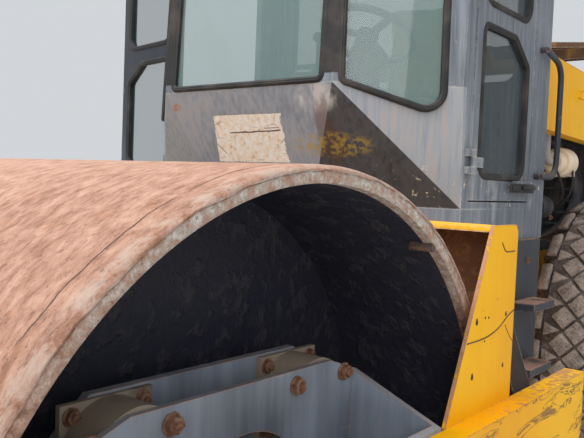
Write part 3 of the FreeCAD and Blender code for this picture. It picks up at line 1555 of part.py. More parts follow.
def door_shapes():
    """A closed left door and its glass."""
    half = float(S.cab_half)
    wall = float(S.cab_wall)
    leaf = Part.makeBox(
        wall,
        float(S.door_rear - S.door_front),
        float(S.door_top - S.door_bottom),
        Vector(half - wall, float(S.door_front), float(S.door_bottom)),
    )
    panes = []
    lay = on_wall(Vector(half, 0, 0), Vector(half, 1, 0), Vector(half, 0, 1))
    for corners in door_windows():
        leaf = leaf.cut(wall_cutter(lay, corners, wall * 3, -wall))
        panes.append(wall_cutter(lay, corners, float(S.glass_wall), wall / 3))
    axis = Vector(half + float(S.hinge_out), float(S.door_front - S.hinge_ahead), 0)
    tall = float(S.hinge_knuckle)
    for z in (float(S.hinge_low), float(S.hinge_high)):
        at = Vector(axis.x, axis.y, z - tall / 2)
        leaf = leaf.fuse(Part.makeCylinder(float(S.hinge_radius), tall, at))
        strap = Part.makeBox(float(S.hinge_out), float(S.strap_door), tall, Vector(half, axis.y, at.z))
        leaf = leaf.fuse(strap)
    handle_front = S.door_rear - S.handle_inset - S.handle_length
    handle = Part.makeBox(
        float(S.handle_depth),
        float(S.handle_length),
        float(S.handle_wide),
        Vector(half, float(handle_front), float(S.door_bottom + S.handle_rise)),
    )
    leaf = leaf.fuse(handle).removeSplitter()
    return leaf, Part.makeCompound(panes), axis


def build_doors():
    leaf, panes, axis = door_shapes()
    tall = float(S.hinge_knuckle)
    fixed = float(S.hinge_fixed)
    post = float(S.strap_post)
    gap = float(S.run_gap)
    knuckles = []
    for name, side in SIDES:
        for label, shape in (("door", leaf), ("door_glass", panes)):
            own = shape if side > 0 else shape.mirror(Vector(), Vector(1, 0, 0))
            piece = held(label, own)
            if side < 0:
                centre = Vector(-axis.x, axis.y, 0)
                turn = Rotation(Vector(0, 0, 1), float(S.door_open))
                piece.Placement = Placement(Vector(), turn, centre)
            node(f"{label}_{name}", piece)
        for z in (S.hinge_low, S.hinge_high):
            for up in (-1, 1):
                near = float(z) + up * (tall / 2 + gap)
                start = near if up > 0 else near - fixed
                at = Vector(axis.x, axis.y, start)
                ring = Part.makeCylinder(float(S.hinge_radius), fixed, at)
                corner = Vector(float(S.cab_half), axis.y - post, start)
                strap = Part.makeBox(float(S.hinge_out), post, fixed, corner)
                knuckle = ring.fuse(strap).removeSplitter()
                knuckles.append(knuckle if side > 0 else knuckle.mirror(Vector(), Vector(1, 0, 0)))
    node("door_hinges", held("door_hinges", Part.makeCompound(knuckles)))


def build_seat():
    floor = S.cab_base + S.cab_wall
    x, half = S.seat_x, S.seat_width / 2
    top = floor + S.seat_height
    front, rear = S.seat_front, S.seat_rear
    bend = S.seat_round
    across = (x - S.pedestal_half, x + S.pedestal_half)
    pedestal = box(across, (front + S.pedestal_front, rear - S.pedestal_rear), (floor, top - S.seat_pad))
    cushion = (
        (front, top - S.seat_pad, bend / 2),
        (rear, top - S.seat_pad, bend / 2),
        (rear, top, bend / 2),
        (front, top, bend),
    )
    high = top + S.seat_back
    back = (
        (rear - S.seat_pad - S.seat_recline / 2, top - bend, bend / 2),
        (rear - S.seat_recline / 2, top - bend, bend / 2),
        (rear + S.seat_recline / 2, high, bend),
        (rear - S.seat_pad + S.seat_recline, high, bend),
    )
    pieces = [plate("YZ", outline, x - half, x + half) for outline in (cushion, back)]
    node("seat", joined(pedestal, *pieces))


def build_steering_wheel():
    floor = S.cab_base + S.cab_wall
    x, y = S.seat_x, S.column_y
    foot, half = S.column_foot, S.column_half
    high = floor + S.column_height
    lean = S.column_lean
    outline = (
        (y - foot, floor),
        (y + foot, floor),
        (y + lean + half, high),
        (y + lean - half, high),
    )
    column = plate("YZ", outline, x - half, x + half)
    radius, grip = float(S.wheel_radius), float(S.wheel_grip)
    shape = Part.makeTorus(radius - grip, grip)
    boss = float(S.wheel_boss)
    depth = boss * 2
    shape = shape.fuse(Part.makeCylinder(boss, depth + grip, Vector(0, 0, -depth)))
    wide = float(S.spoke_wide)
    for turn in (90, 210, 330):
        spoke = Part.makeBox(radius - grip, wide, grip, Vector(0, -wide / 2, -grip / 2))
        spoke.rotate(Vector(), Vector(0, 0, 1), turn)
        shape = shape.fuse(spoke)
    wheel = held("wheel", shape.removeSplitter())
    tilt = Rotation(Vector(1, 0, 0), -float(S.wheel_tilt))
    place(wheel, (x, y + lean, high + S.wheel_boss), tilt)
    node("steering_column", joined(column, wheel))


def build_console():
    floor = S.cab_base + S.cab_wall
    high = floor + S.seat_height + S.console_rise
    right = S.seat_x - S.seat_width / 2 - S.console_gap
    left = right - S.console_width
    front, rear = S.seat_front - S.console_nose, S.seat_rear
    outline = (
        (front, floor),
        (rear, floor),
        (rear, high, S.console_round),
        (front + S.console_nose, high, S.console_round),
        (front, high - S.console_nose, S.console_round),
    )
    body = plate("YZ", outline, left, right)
    spot = ((left + right) / 2, S.seat_front + S.console_nose)
    lever = cylinder("Z", spot, S.lever_radius, high - S.lever_radius, high + S.lever_height)
    knob = doc.addObject("Part::Sphere", "knob")
    knob.Radius = float(S.knob_radius)
    bind(knob, "Radius", S.knob_radius)
    place(knob, (*spot, high + S.lever_height))
    node("console", joined(body, lever, knob))


def build_cab_inside():
    build_seat()
    build_steering_wheel()
    build_console()


# Engine bay


def build_rails():
    x = S.cab_half + S.rail_out
    rails = []
    for _, side in SIDES:
        path = (
            (side * x, S.rail_foot, S.rail_top, 0),
            (side * x, S.rail_rear, S.rail_top - S.rail_drop, S.rail_bend),
            (side * x, S.rail_rear, S.rail_low, S.rail_bend),
            (side * x, S.rail_foot, S.rail_low, 0),
        )
        tube = bent_tube(path, S.rail_radius)
        for z in (S.rail_top, S.rail_low):
            at = Vector(float(S.cab_half), float(S.rail_foot), float(z))
            foot = Part.makeCylinder(float(S.rail_radius), float(S.rail_out), at, Vector(1, 0, 0))
            if side < 0:
                foot = foot.mirror(Vector(), Vector(1, 0, 0))
            tube = tube.fuse(foot)
        rails.append(tube)
    node("handrails", held("handrails", Part.makeCompound(rails)))


def build_bay():
    front, rear = S.bay_front, S.bay_rear
    inside = S.bay_half - S.bay_wall
    fall = (S.panel_rear_bottom - S.panel_front_bottom) / (S.bay_rear - S.bay_front)
    start, end = front + S.lid_rib_inset, rear - S.lid_rib_inset
    low_start = S.panel_front_bottom + fall.number * float(start - front)
    low_end = S.panel_rear_bottom - fall.number * float(rear - end)
    panels = []
    for _, side in SIDES:
        outline = (
            (front, S.panel_front_bottom),
            (rear, S.panel_rear_bottom),
            (rear, S.panel_rear_top),
            (front, S.panel_front_top),
        )
        fold = (
            (start, low_start),
            (end, low_end),
            (end, low_end + S.panel_fold_wall),
            (start, low_start + S.panel_fold_wall),
        )
        panel = plate("YZ", outline, *on_side(side, inside, S.bay_half))
        inner = plate("YZ", fold, *on_side(side, inside - S.panel_fold, inside))
        panels.append(joined(panel, inner))
    node("engine_panels", group(*panels))
    front_span, rear_span = (front, front + S.leg_depth), (rear - S.leg_depth, rear)
    across = (-inside, inside)
    foot = (S.chassis_top, S.chassis_top + S.bay_foot)
    front_top, rear_top = S.panel_front_top - S.leg_drop, S.panel_rear_top - S.leg_drop
    front_pieces = [box(across, front_span, foot)]
    front_pieces.append(box(across, front_span, (front_top - S.bay_beam, front_top)))
    rear_pieces = [box(across, rear_span, foot)]
    rear_pieces.append(box(across, rear_span, (rear_top - S.bay_foot, rear_top)))
    for _, side in SIDES:
        post = on_side(side, inside - S.leg_half, inside)
        front_pieces.append(box(post, front_span, (S.chassis_top, front_top)))
        rear_pieces.append(box(post, rear_span, (S.chassis_top, rear_top)))
    node("bay_front_frame", joined(*front_pieces, *lid_knuckles()))
    low = S.chassis_top + S.bay_foot
    count = int(float(S.slat_count))
    step = (rear_top - S.bay_foot - low) / (count + 1)
    depth = (rear - S.leg_depth + S.grille_front, rear - S.grille_front)
    for i in range(1, count + 1):
        z = low + step * i
        rear_pieces.append(box(across, depth, (z, z + S.grille_slat)))
    node("rear_grille", joined(*rear_pieces))


def lid_axis():
    """The lid's hinge line, as its Y and Z."""
    return S.bay_front - S.lid_hinge_out, S.panel_front_top + S.lid_gap + S.lid_wall / 2


def lid_knuckles():
    """The frame's halves of the lid's hinges, on both sides of each of the lid's own."""
    y, z = lid_axis()
    ring = S.lid_pin + 4
    low = S.panel_front_top - S.leg_drop - S.bay_beam
    outline = (
        (S.bay_front, low),
        (S.bay_front, z - ring * 2),
        (y + ring, z - ring),
        (y + ring, z + ring),
        (y - ring, z + ring),
        (y - ring, z - ring),
        (y + ring, low),
    )
    bore = (y, z, S.lid_pin + S.run_gap)
    knuckles = []
    for _, side in SIDES:
        for way in (-1, 1):
            near = side * S.lid_hinge_x + way * (S.lid_hinge_width / 2 + S.run_gap)
            far = near + way * S.knuckle_wall
            span = (near, far) if way > 0 else (far, near)
            knuckles.append(plate("YZ", outline, *span, [bore]))
    return knuckles


def lid_slab(top_at, x, y, low, high):
    """A slab that follows the lid's fall, from low to high above the lid's underside."""
    corners = [
        Vector(x[0], y[0], top_at(y[0]) + low),
        Vector(x[0], y[1], top_at(y[1]) + low),
        Vector(x[0], y[1], top_at(y[1]) + high),
        Vector(x[0], y[0], top_at(y[0]) + high),
    ]
    return Part.Face(Part.makePolygon(corners + corners[:1])).extrude(Vector(x[1] - x[0], 0, 0))


def build_lid():
    front, rear = float(S.bay_front), float(S.bay_rear)
    slope = float(S.panel_rear_top - S.panel_front_top) / (rear - front)
    base = float(S.panel_front_top + S.lid_gap)
    wall, half = float(S.lid_wall), float(S.bay_half)

    def top_at(y):
        return base + slope * (y - front)

    lid = lid_slab(top_at, (-half, half), (front, rear + float(S.lid_rear_lip)), 0, wall)
    deep, rib = float(S.lid_rib), float(S.lid_rib_wall)
    out = float(S.lid_rib_x)
    start, end = front + float(S.lid_rib_inset), rear - float(S.lid_rib_inset) - rib
    third = (end - start) / 3
    ribs = []
    for side in (-1, 1):
        near = side * out - rib / 2
        ribs.append(lid_slab(top_at, (near, near + rib), (start, end + rib), -deep, wall / 2))
    for i in range(4):
        y = start + third * i
        ribs.append(lid_slab(top_at, (-out, out), (y, y + rib), -deep, wall / 2))
    lid = lid.fuse(ribs)
    y, z = [float(c) for c in lid_axis()]
    half_lug = float(S.lid_hinge_width) / 2
    knuckle = float(S.knuckle_wall)
    for way in (-1, 1):
        middle = way * float(S.lid_hinge_x)
        at = Vector(middle - half_lug, y, z - wall / 2)
        lid = lid.fuse(Part.makeBox(2 * half_lug, front - y + float(S.lid_lug), wall * 0.8, at))
        at = Vector(middle - half_lug - knuckle, y, z)
        lid = lid.fuse(Part.makeCylinder(float(S.lid_pin), 2 * (half_lug + knuckle), at, Vector(1, 0, 0)))
    lid = lid.removeSplitter()
    hinge = Vector(0, y, z)
    piece = held("lid", lid)
    piece.Placement = Placement(Vector(), Rotation(Vector(1, 0, 0), float(S.lid_open)), hinge)
    node("engine_lid", piece)


def build_engine():
    crank = S.crank_height
    housing = S.engine_front + S.pump_length
    front = housing + S.flywheel_depth
    rear = S.engine_rear - S.pulley_run
    length = float(rear - front)
    pieces = [
        cylinder("Y", (0, crank), S.pump_radius, S.engine_front, housing),
        cylinder("Y", (0, crank), S.flywheel_radius, housing, front),
        box((-S.case_half, S.case_half), (front, rear), (S.case_low, S.case_top)),
        box((-S.cylinder_half, S.cylinder_half), (front, rear), (S.case_top, S.cylinder_top)),
    ]
    pan = (
        (-S.pan_half + S.pan_taper, S.engine_floor),
        (S.pan_half - S.pan_taper, S.engine_floor),
        (S.pan_half, S.case_low),
        (-S.pan_half, S.case_low),
    )
    pieces.append(plate("XZ", pan, front + S.mount_wall, rear - S.mount_wall))
    cover = (
        (-S.rocker_half, S.cylinder_top),
        (S.rocker_half, S.cylinder_top),
        (S.rocker_half, S.engine_top, S.rocker_round),
        (-S.rocker_half, S.engine_top, S.rocker_round),
    )
    pieces.append(plate("XZ", cover, front + S.pan_taper, rear - S.pan_taper))
    # Exhaust manifold on the driver's right, inlet manifold on the left
    out = S.cylinder_half + S.manifold_out
    duct_z = (S.case_top + S.cylinder_top) / 2
    duct = (front + S.pan_taper, rear - S.pan_taper)
    pieces.append(cylinder("Y", (-out, duct_z), S.manifold_radius, *duct))
    count = int(float(S.port_count))
    for i in range(count):
        y = front + length * (i + 0.5) / count
        pieces.append(cylinder("X", (y, duct_z), S.port_radius, -out, -S.cylinder_half))
    inlet = (
        (S.cylinder_half, duct_z - S.manifold_radius),
        (out, duct_z - S.manifold_radius, S.port_radius),
        (out, duct_z + S.manifold_radius, S.port_radius),
        (S.cylinder_half, duct_z + S.manifold_radius),
    )
    pieces.append(plate("XZ", inlet, *duct))
    # Filters, starter, alternator and pulleys
    side = S.case_half + S.filter_radius * 1.2
    for x, share in ((side, 0.3), (side, 0.44), (-side, 0.4)):
        y = front + length * share
        low = S.mount_high + S.port_radius
        high = low + S.filter_length
        pieces.append(cylinder("Z", (x, y), S.filter_radius, low, high))
        span = on_side(1 if float(x) > 0 else -1, S.case_half, side + S.port_radius)
        grip = (y - S.port_radius, y + S.port_radius)
        pieces.append(box(span, grip, (high, high + S.port_radius)))
    starter = (front, front + length * 0.2)
    pieces.append(cylinder("Y", (side, crank - S.starter_radius), S.starter_radius, *starter))
    charger = (rear - length * 0.18, rear + S.pulley_run / 3)
    charger_z = S.case_top - S.alternator_radius
    charger_x = S.case_half + S.alternator_radius / 2
    pieces.append(cylinder("Y", (charger_x, charger_z), S.alternator_radius, *charger))
    wheel = (rear, rear + S.pulley_run)
    pieces.append(cylinder("Y", (0, crank), S.alternator_radius * 1.2, *wheel))
    pieces.append(cylinder("Y", (0, S.case_top), S.alternator_radius, *wheel))
    pieces.append(cylinder("Y", (charger_x, charger_z), S.manifold_radius, *wheel))
    # Four feet on the chassis plates
    for _, way in SIDES:
        foot = on_side(way, S.pan_half - S.pan_taper, S.chassis_half - S.chassis_wall)
        for y in (front + S.mount_wall, rear - 2 * S.mount_wall):
            pieces.append(box(foot, (y, y + S.mount_wall), (S.mount_low, S.mount_high)))
    stack = (-out, rear - length * 0.25)
    flange_top = duct_z + S.manifold_radius + S.tail_wall
    pieces.append(cylinder("Z", stack, S.tail_radius + S.tail_wall * 2, duct_z, flange_top))
    node("engine", joined(*pieces))
    build_radiator()
    build_air_cleaner(front + S.mount_wall / 2)
    build_exhaust(stack, flange_top)


def build_radiator():
    front = S.radiator_front
    rear = front + S.radiator_depth
    low, high = S.chassis_top, S.panel_rear_top - S.mount_wall
    half, core = S.radiator_half, S.core_half
    base = box((-half, half), (front, rear), (low, high))
    core_z = (low + S.core_edge, high - S.core_edge)
    recess = []
    for face in ((front, front + S.core_depth), (rear - S.core_depth, rear)):
        recess.append(box((-core, core), face, core_z))
    frame = cut(base, *recess)
    fins = []
    count = int(float(S.fin_count))
    pitch = 2 * core / count
    for i in range(count):
        x = pitch * (i + 0.5) - core - S.fin_wall / 2
        for face in (front + S.core_depth / 2, rear - S.core_depth):
            fins.append(box((x, x + S.fin_wall), (face, face + S.core_depth / 2), core_z))
    middle = (0, S.shroud_height)
    start = front - S.shroud_depth
    end = front + S.core_depth
    ring = cut(
        cylinder("Y", middle, S.shroud_radius, start, end),
        cylinder("Y", middle, S.shroud_radius - S.shroud_wall, start, end),
    )
    bars = []
    count = int(float(S.guard_count))
    reach = float(S.shroud_radius - S.shroud_wall / 2)
    for i in range(count):
        up = reach * (2 * (i + 0.5) / count - 1)
        wide = math.sqrt(reach * reach - up * up)
        z = S.shroud_height + up - S.guard_bar / 2
        bars.append(box((-wide, wide), (start, start + S.guard_bar), (z, z + S.guard_bar)))
    # Upper coolant pipe, from the cylinder head to the radiator's upper edge
    x = S.rocker_half + S.hose_radius
    y = S.radiator_front - S.shroud_radius - S.shroud_depth
    path = (
        (x, y, S.cylinder_top, 0),
        (x, y, high - S.core_edge / 2, S.pipe_bend),
        (x, front + S.shroud_wall, high - S.core_edge / 2, 0),
    )
    hose = held("hose", bent_tube(path, S.hose_radius))
    node("radiator", joined(frame, *fins, ring, *bars, hose))


def build_air_cleaner(tail):
    """The canister with its bellows and bracket, and the pipe that feeds it."""
    x, z = S.canister_x, S.canister_height
    start = S.canister_front
    end = start + S.canister_length
    neck, groove = S.canister_neck, S.canister_neck - S.bellows_groove
    pitch = S.bellows_pitch
    count = int(float(S.bellows_count))
    mouth = start - pitch * count
    bore = S.pipe_radius / 2
    profile = [(bore, mouth)]
    for i in range(count):
        profile += [(groove, mouth + pitch * i), (neck, mouth + pitch * (i + 0.5))]
    profile += [
        (groove, start),
        (S.canister_radius, start, S.canister_round),
        (S.canister_radius, end, S.canister_round),
        (bore, end),
    ]
    can = turned("Y", profile, (x, 0, z))
    grip = (S.cylinder_half, x + S.port_radius)
    wall = (S.cylinder_top - S.shelf_wall, S.cylinder_top)
    shelf = box(grip, (end - S.shelf_tail, tail + S.mount_wall), wall)
    node("air_cleaner", joined(can, shelf))
    path = (
        (x, S.pipe_front, S.pipe_top, 0),
        (x, S.pipe_front, z, S.pipe_bend),
        (x, mouth + pitch, z, 0),
    )
    node("air_pipe", held("air_pipe", bent_tube(path, S.pipe_radius / 2 * 0.98)))


def build_exhaust(at, low):
    """The muffler on the exhaust manifold, with its pipe up to the lid."""
    high = S.panel_rear_top - S.mount_wall
    pipe, bore = S.tail_radius, S.tail_radius - S.tail_wall
    inset, slope = S.muffler_inset, S.muffler_shoulder
    profile = (
        (bore, low),
        (pipe, low),
        (pipe, low + inset),
        (S.muffler_radius, low + inset + slope),
        (S.muffler_radius, high - inset - slope),
        (pipe, high - inset),
        (pipe, high),
        (bore, high),
    )
    node("exhaust", turned("Z", profile, (*at, 0)))


def build_rear_end():
    outline = (
        (-S.bumper_half, S.chassis_rear),
        (S.bumper_half, S.chassis_rear),
        (S.bumper_half, S.bumper_rear, S.bumper_round),
        (-S.bumper_half, S.bumper_rear, S.bumper_round),
    )
    block = plate("XY", outline, S.chassis_rear_bottom + S.chassis_tail_cut, S.chassis_top)
    eye_y = S.bumper_rear + S.tow_lug / 2
    bend = S.tow_lug * 0.97
    lug = (
        (-S.tow_lug, S.bumper_rear),
        (S.tow_lug, S.bumper_rear),
        (S.tow_lug, eye_y + S.tow_lug, bend),
        (-S.tow_lug, eye_y + S.tow_lug, bend),
    )
    low = S.tow_lug_height - S.tow_lug_wall / 2
    tow = plate("XY", lug, low, low + S.tow_lug_wall, [(0, eye_y, S.eye_radius)])
    node("rear_bumper", joined(block, tow))


def build_work_lamps():
    """Four lamps under the roof's edge, two ahead and two behind."""
    front = S.nose_eaves_y - S.roof_overhang
    rear = S.cab_rear + S.roof_overhang
    z = S.cab_eaves + S.roof_wall / 2
    half, tall = S.lamp_half, S.lamp_height / 2
    lamps = []
    for out, face, way in ((S.lamp_front_x, front, -1), (S.lamp_rear_x, rear, 1)):
        for _, side in SIDES:
            x = side * out
            near = face + way * S.lamp_reach
            far = near + way * S.lamp_depth
            lens = far - way * S.lamp_lens
            rim = S.lamp_rim
            bend = S.lamp_round
            body = (
                (x - half, z - tall, bend),
                (x + half, z - tall, bend),
                (x + half, z + tall, bend),
                (x - half, z + tall, bend),
            )
            hollow = (
                (x - half + rim, z - tall + rim, bend / 2),
                (x + half - rim, z - tall + rim, bend / 2),
                (x + half - rim, z + tall - rim, bend / 2),
                (x - half + rim, z + tall - rim, bend / 2),
            )
            case = plate("XZ", body, *((near, far) if way > 0 else (far, near)))
            recess = plate("XZ", hollow, *((lens, far) if way > 0 else (far, lens)))
            stem = box(
                (x - S.lamp_stem, x + S.lamp_stem),
                (face, near) if way > 0 else (near, face),
                (z - S.lamp_stem, z + S.lamp_stem),
            )
            lamps.append(joined(cut(case, recess), stem))
    node("work_lamps", group(*lamps))


def check(doc):
    """Stops if any object failed, or any sub-part has no sound shape."""
    for thing in doc.Objects:
        bad = [state for state in thing.State if state in ("Invalid", "Error")]
        if bad:
            raise RuntimeError(f"{thing.Name} ({thing.Label}) is {bad}")
    for thing in nodes:
        if thing.Shape.isNull() or not thing.Shape.isValid():
            raise RuntimeError(f"{thing.Label} has no sound shape")


def main():
    build_side_beams()
    build_front_crossmember()
    build_rear_crossmember()
    build_gussets()
    build_drum_brackets()
    build_mount_plates()
    build_buffers()
    build_scrapers()
    build_drum()
    build_clevis()
    build_centre_link()
    build_jacks()
    build_chassis()
    build_axle()
    build_wheels()
    build_tanks()
    build_steps()
    build_cab()
    build_doors()
    build_cab_inside()
    build_rails()
    build_bay()
    build_lid()
    build_engine()
    build_rear_end()
    build_work_lamps()
    doc.recompute()
    check(doc)
    os.makedirs("parts", exist_ok=True)
    for thing in nodes:
        thing.Shape.exportStep(f"parts/{thing.Label}.step")
        print(f"{thing.Label}: {len(thing.Shape.Solids)} solids, {thing.Shape.Volume / 1e9:.4f} m3")
    print(len(nodes), "sub-parts")


main()
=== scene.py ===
"""Finishes and fittings of a worn single-drum road roller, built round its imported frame."""
import math
import random

import bmesh
import bpy
from mathutils import Matrix, Vector, noise


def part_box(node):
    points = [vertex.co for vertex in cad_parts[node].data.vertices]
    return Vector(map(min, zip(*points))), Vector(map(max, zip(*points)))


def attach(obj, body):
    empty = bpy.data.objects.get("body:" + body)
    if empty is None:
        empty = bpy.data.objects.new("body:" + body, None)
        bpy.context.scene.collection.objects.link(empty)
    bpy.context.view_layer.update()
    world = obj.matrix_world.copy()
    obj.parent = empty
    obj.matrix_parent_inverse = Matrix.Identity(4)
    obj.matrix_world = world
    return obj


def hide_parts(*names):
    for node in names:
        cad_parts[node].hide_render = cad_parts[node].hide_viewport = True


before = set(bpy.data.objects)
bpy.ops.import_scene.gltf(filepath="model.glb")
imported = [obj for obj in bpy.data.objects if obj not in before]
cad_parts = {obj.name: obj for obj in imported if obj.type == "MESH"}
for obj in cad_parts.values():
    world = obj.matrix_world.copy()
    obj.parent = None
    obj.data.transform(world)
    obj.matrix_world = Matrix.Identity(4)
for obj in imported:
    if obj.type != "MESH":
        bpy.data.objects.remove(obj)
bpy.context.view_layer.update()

# Without a seed of its own, the noise that dents bolts and tyres would differ from run to run
noise.seed_set(7)

# The photograph's frame in pixels, and the camera that was fitted to it
FRAME_WIDE = 584
FOCAL_PIXELS = 718.7
SENSOR = 36.0
CAMERA_AT = Vector((1.810, -1.045, 1.463))
CAMERA_HEADING = math.radians(39.05)
CAMERA_RISE = math.radians(-2.83)
CAMERA_ROLL = math.radians(2.32)

SIDES = (("left", 1), ("right", -1))
X, Y, Z = Vector((1, 0, 0)), Vector((0, 1, 0)), Vector((0, 0, 1))

WHEEL_Y, WHEEL_Z = 2.95, 0.72

# Colours as they look in daylight, in steps of 255
TONES = {
    "rust tan": (168, 124, 102),
    "rust pale": (192, 152, 130),
    "rust brown": (134, 92, 68),
    "rust orange": (168, 110, 72),
    "rust dark": (92, 62, 50),
    "scale grey": (172, 156, 144),
    "drum soot and shade blue": (12, 19, 42),
    "drum mud": (52, 50, 58),
    "slate": (138, 147, 160),
    "slate pale": (164, 170, 180),
    "slate dark": (92, 98, 108),
    "yellow": (244, 180, 0),
    "yellow deep": (236, 166, 0),
    "yellow faded": (246, 192, 26),
    "grime brown": (88, 58, 40),
    "cab grey": (106, 112, 121),
    "cab pale": (146, 151, 158),
    "cab dark": (66, 68, 74),
    "chalk": (204, 200, 194),
    "cream": (228, 208, 182),
    "lichen": (168, 140, 52),
    "mud": (138, 112, 88),
    "dust": (158, 142, 124),
    "rubber": (26, 26, 29),
    "tyre": (142, 127, 118),
    "tyre dust": (188, 172, 160),
    "vinyl": (122, 116, 56),
    "vinyl worn": (150, 142, 92),
    "plastic": (34, 34, 38),
    "glass": (124, 148, 146),
    "steel": (150, 150, 152),
    "soot": (30, 27, 26),
    "oil": (44, 36, 30),
    "white": (232, 230, 224),
    "lamp": (236, 232, 214),
    "floor": (222, 220, 216),
    "shade grey": (38, 42, 50),
    "painted shade dark": (58, 57, 60),
    "peg brown": (78, 64, 60),
    "bare edge": (170, 118, 92),
    "shade blue": (52, 55, 62),
    "door glass": (42, 64, 68),
    "sky": (238, 242, 246),
}


def tone(name):
    """A colour as the shaders count it."""
    share = [c / 255 for c in TONES[name]]
    return tuple(c / 12.92 if c <= 0.04045 else ((c + 0.055) / 1.055) ** 2.4 for c in share) + (1.0,)


# Finishes


class Amount:
    """A value on its way through a finish; sums on it add Math nodes."""

    def __init__(self, finish, socket):
        self.finish = finish
        self.socket = socket

    def sum(self, operation, first, second):
        return self.finish.node("ShaderNodeMath", {"operation": operation}, {0: first, 1: second})

    def __add__(self, other):
        return self.sum("ADD", self, other)

    def __sub__(self, other):
        return self.sum("SUBTRACT", self, other)

    def __mul__(self, other):
        return self.sum("MULTIPLY", self, other)

    def __rsub__(self, other):
        return self.sum("SUBTRACT", other, self)

    def __gt__(self, other):
        return self.sum("MAXIMUM", self, other)

    def __lt__(self, other):
        return self.sum("MINIMUM", self, other)

    __radd__ = __add__
    __rmul__ = __mul__


class Finish:
    """One material and the textures and masks that it is made from."""

    def __init__(self, name):
        self.material = bpy.data.materials.new(name)
        self.material.use_nodes = True
        self.tree = self.material.node_tree
        self.tree.nodes.clear()
        self.spot = self.node("ShaderNodeTexCoord", out="Object")

    def node(self, kind, settings=None, inputs=None, out=0):
        """Adds a node: its settings, its stops if it is a ramp, and its sockets' values or links."""
        made = self.tree.nodes.new(kind)
        for name, value in (settings or {}).items():
            if name == "stops":
                self.set_stops(made.color_ramp, value)
            else:
                setattr(made, name, value)
        for place, value in (inputs or {}).items():
            if isinstance(value, Amount):
                self.tree.links.new(value.socket, made.inputs[place])
            else:
                made.inputs[place].default_value = value
        return Amount(self, made.outputs[out])

    @staticmethod
    def set_stops(ramp, stops):
        while len(ramp.elements) < len(stops):
            ramp.elements.new(0.5)
        for element, (at, colour) in zip(ramp.elements, stops):
            element.position = at
            element.color = colour

    def stretched(self, share):
        """The piece's own coordinates, squeezed by a share along each axis."""
        return self.node("ShaderNodeMapping", None, {"Vector": self.spot, "Scale": share})

    def grain(self, size, detail=4.0, rough=0.55, stretch=(1, 1, 1), warp=0.0):
        """Noise with features of a size in metres."""
        inputs = {
            "Vector": self.stretched(stretch),
            "Scale": 1 / size,
            "Detail": detail,
            "Roughness": rough,
            "Distortion": warp,
        }
        return self.node("ShaderNodeTexNoise", None, inputs)

    def cells(self, size, feature="F1", stretch=(1, 1, 1)):
        """Distance to scattered points, or to the lines between their cells."""
        inputs = {"Vector": self.stretched(stretch), "Scale": 1 / size}
        return self.node("ShaderNodeTexVoronoi", {"feature": feature}, inputs, "Distance")

    def between(self, value, low, high):
        """0 below low, 1 above high, smooth between."""
        inputs = {"Value": value, "From Min": low, "From Max": high}
        return self.node("ShaderNodeMapRange", {"interpolation_type": "SMOOTHSTEP"}, inputs)

    def tones(self, value, *stops):
        """A colour ramp from (place, tone) stops."""
        made = [(at, tone(name)) for at, name in stops]
        return self.node("ShaderNodeValToRGB", {"stops": made}, {"Fac": value})

    def over(self, mask, under, name):
        """A named tone laid over a colour where the mask is 1."""
        top = name if isinstance(name, Amount) else tone(name)
        return self.node("ShaderNodeMix", {"data_type": "RGBA"}, {0: mask, 6: under, 7: top}, 2)

    def edges(self, radius):
        """1 on convex and concave edges within a radius in metres."""
        rounded = self.node("ShaderNodeBevel", {"samples": 6}, {"Radius": radius})
        flat = self.node("ShaderNodeNewGeometry", out="Normal")
        even = self.node("ShaderNodeVectorMath", {"operation": "DOT_PRODUCT"}, {0: rounded, 1: flat}, 1)
        return self.between(1 - even, 0.01, 0.2)

    def part_of(self, axis, source=None):
        """One coordinate of the piece, or of another vector."""
        vector = source or self.spot
        return self.node("ShaderNodeSeparateXYZ", None, {0: vector}, axis)

    def upward(self, low=0.35, high=0.95):
        """1 on surfaces that face up."""
        flat = self.node("ShaderNodeNewGeometry", out="Normal")
        return self.between(self.part_of(2, flat), low, high)

    def line(self, value, at, wide):
        """1 where a value passes a level, within a width."""
        away = self.node("ShaderNodeMath", {"operation": "ABSOLUTE"}, {0: value - at})
        return 1 - self.between(away, wide * 0.4, wide)

    def band(self, value, low, high, soft=0.004):
        """1 where a value lies between two levels."""
        return self.between(value, low - soft, low + soft) * (1 - self.between(value, high - soft, high + soft))

    def near(self, centre, radii):
        """1 at a place, fading to 0 at the given radii round it."""
        away = self.node("ShaderNodeVectorMath", {"operation": "SUBTRACT"}, {0: self.spot, 1: centre})
        shares = tuple(1 / r for r in radii)
        away = self.node("ShaderNodeVectorMath", {"operation": "MULTIPLY"}, {0: away, 1: shares})
        far = self.node("ShaderNodeVectorMath", {"operation": "LENGTH"}, {0: away}, 1)
        return 1 - self.between(far, 0.6, 1.0)

    def done(self, colour, rough, relief=None, depth=0.002, metal=0.0, **sockets):
        """Closes the finish; relief is a height that feeds the bump."""
        inputs = {"Base Color": colour, "Roughness": rough, "Metallic": metal}
        inputs.update({name.replace("_", " "): value for name, value in sockets.items()})
        if relief is not None:
            inputs["Normal"] = self.node("ShaderNodeBump", None, {"Distance": depth, "Height": relief})
        shader = self.node("ShaderNodeBsdfPrincipled", None, inputs)
        self.close(shader)
        return self.material

    def close(self, shader):
        last = self.tree.nodes.new("ShaderNodeOutputMaterial")
        self.tree.links.new(shader.socket, last.inputs["Surface"])


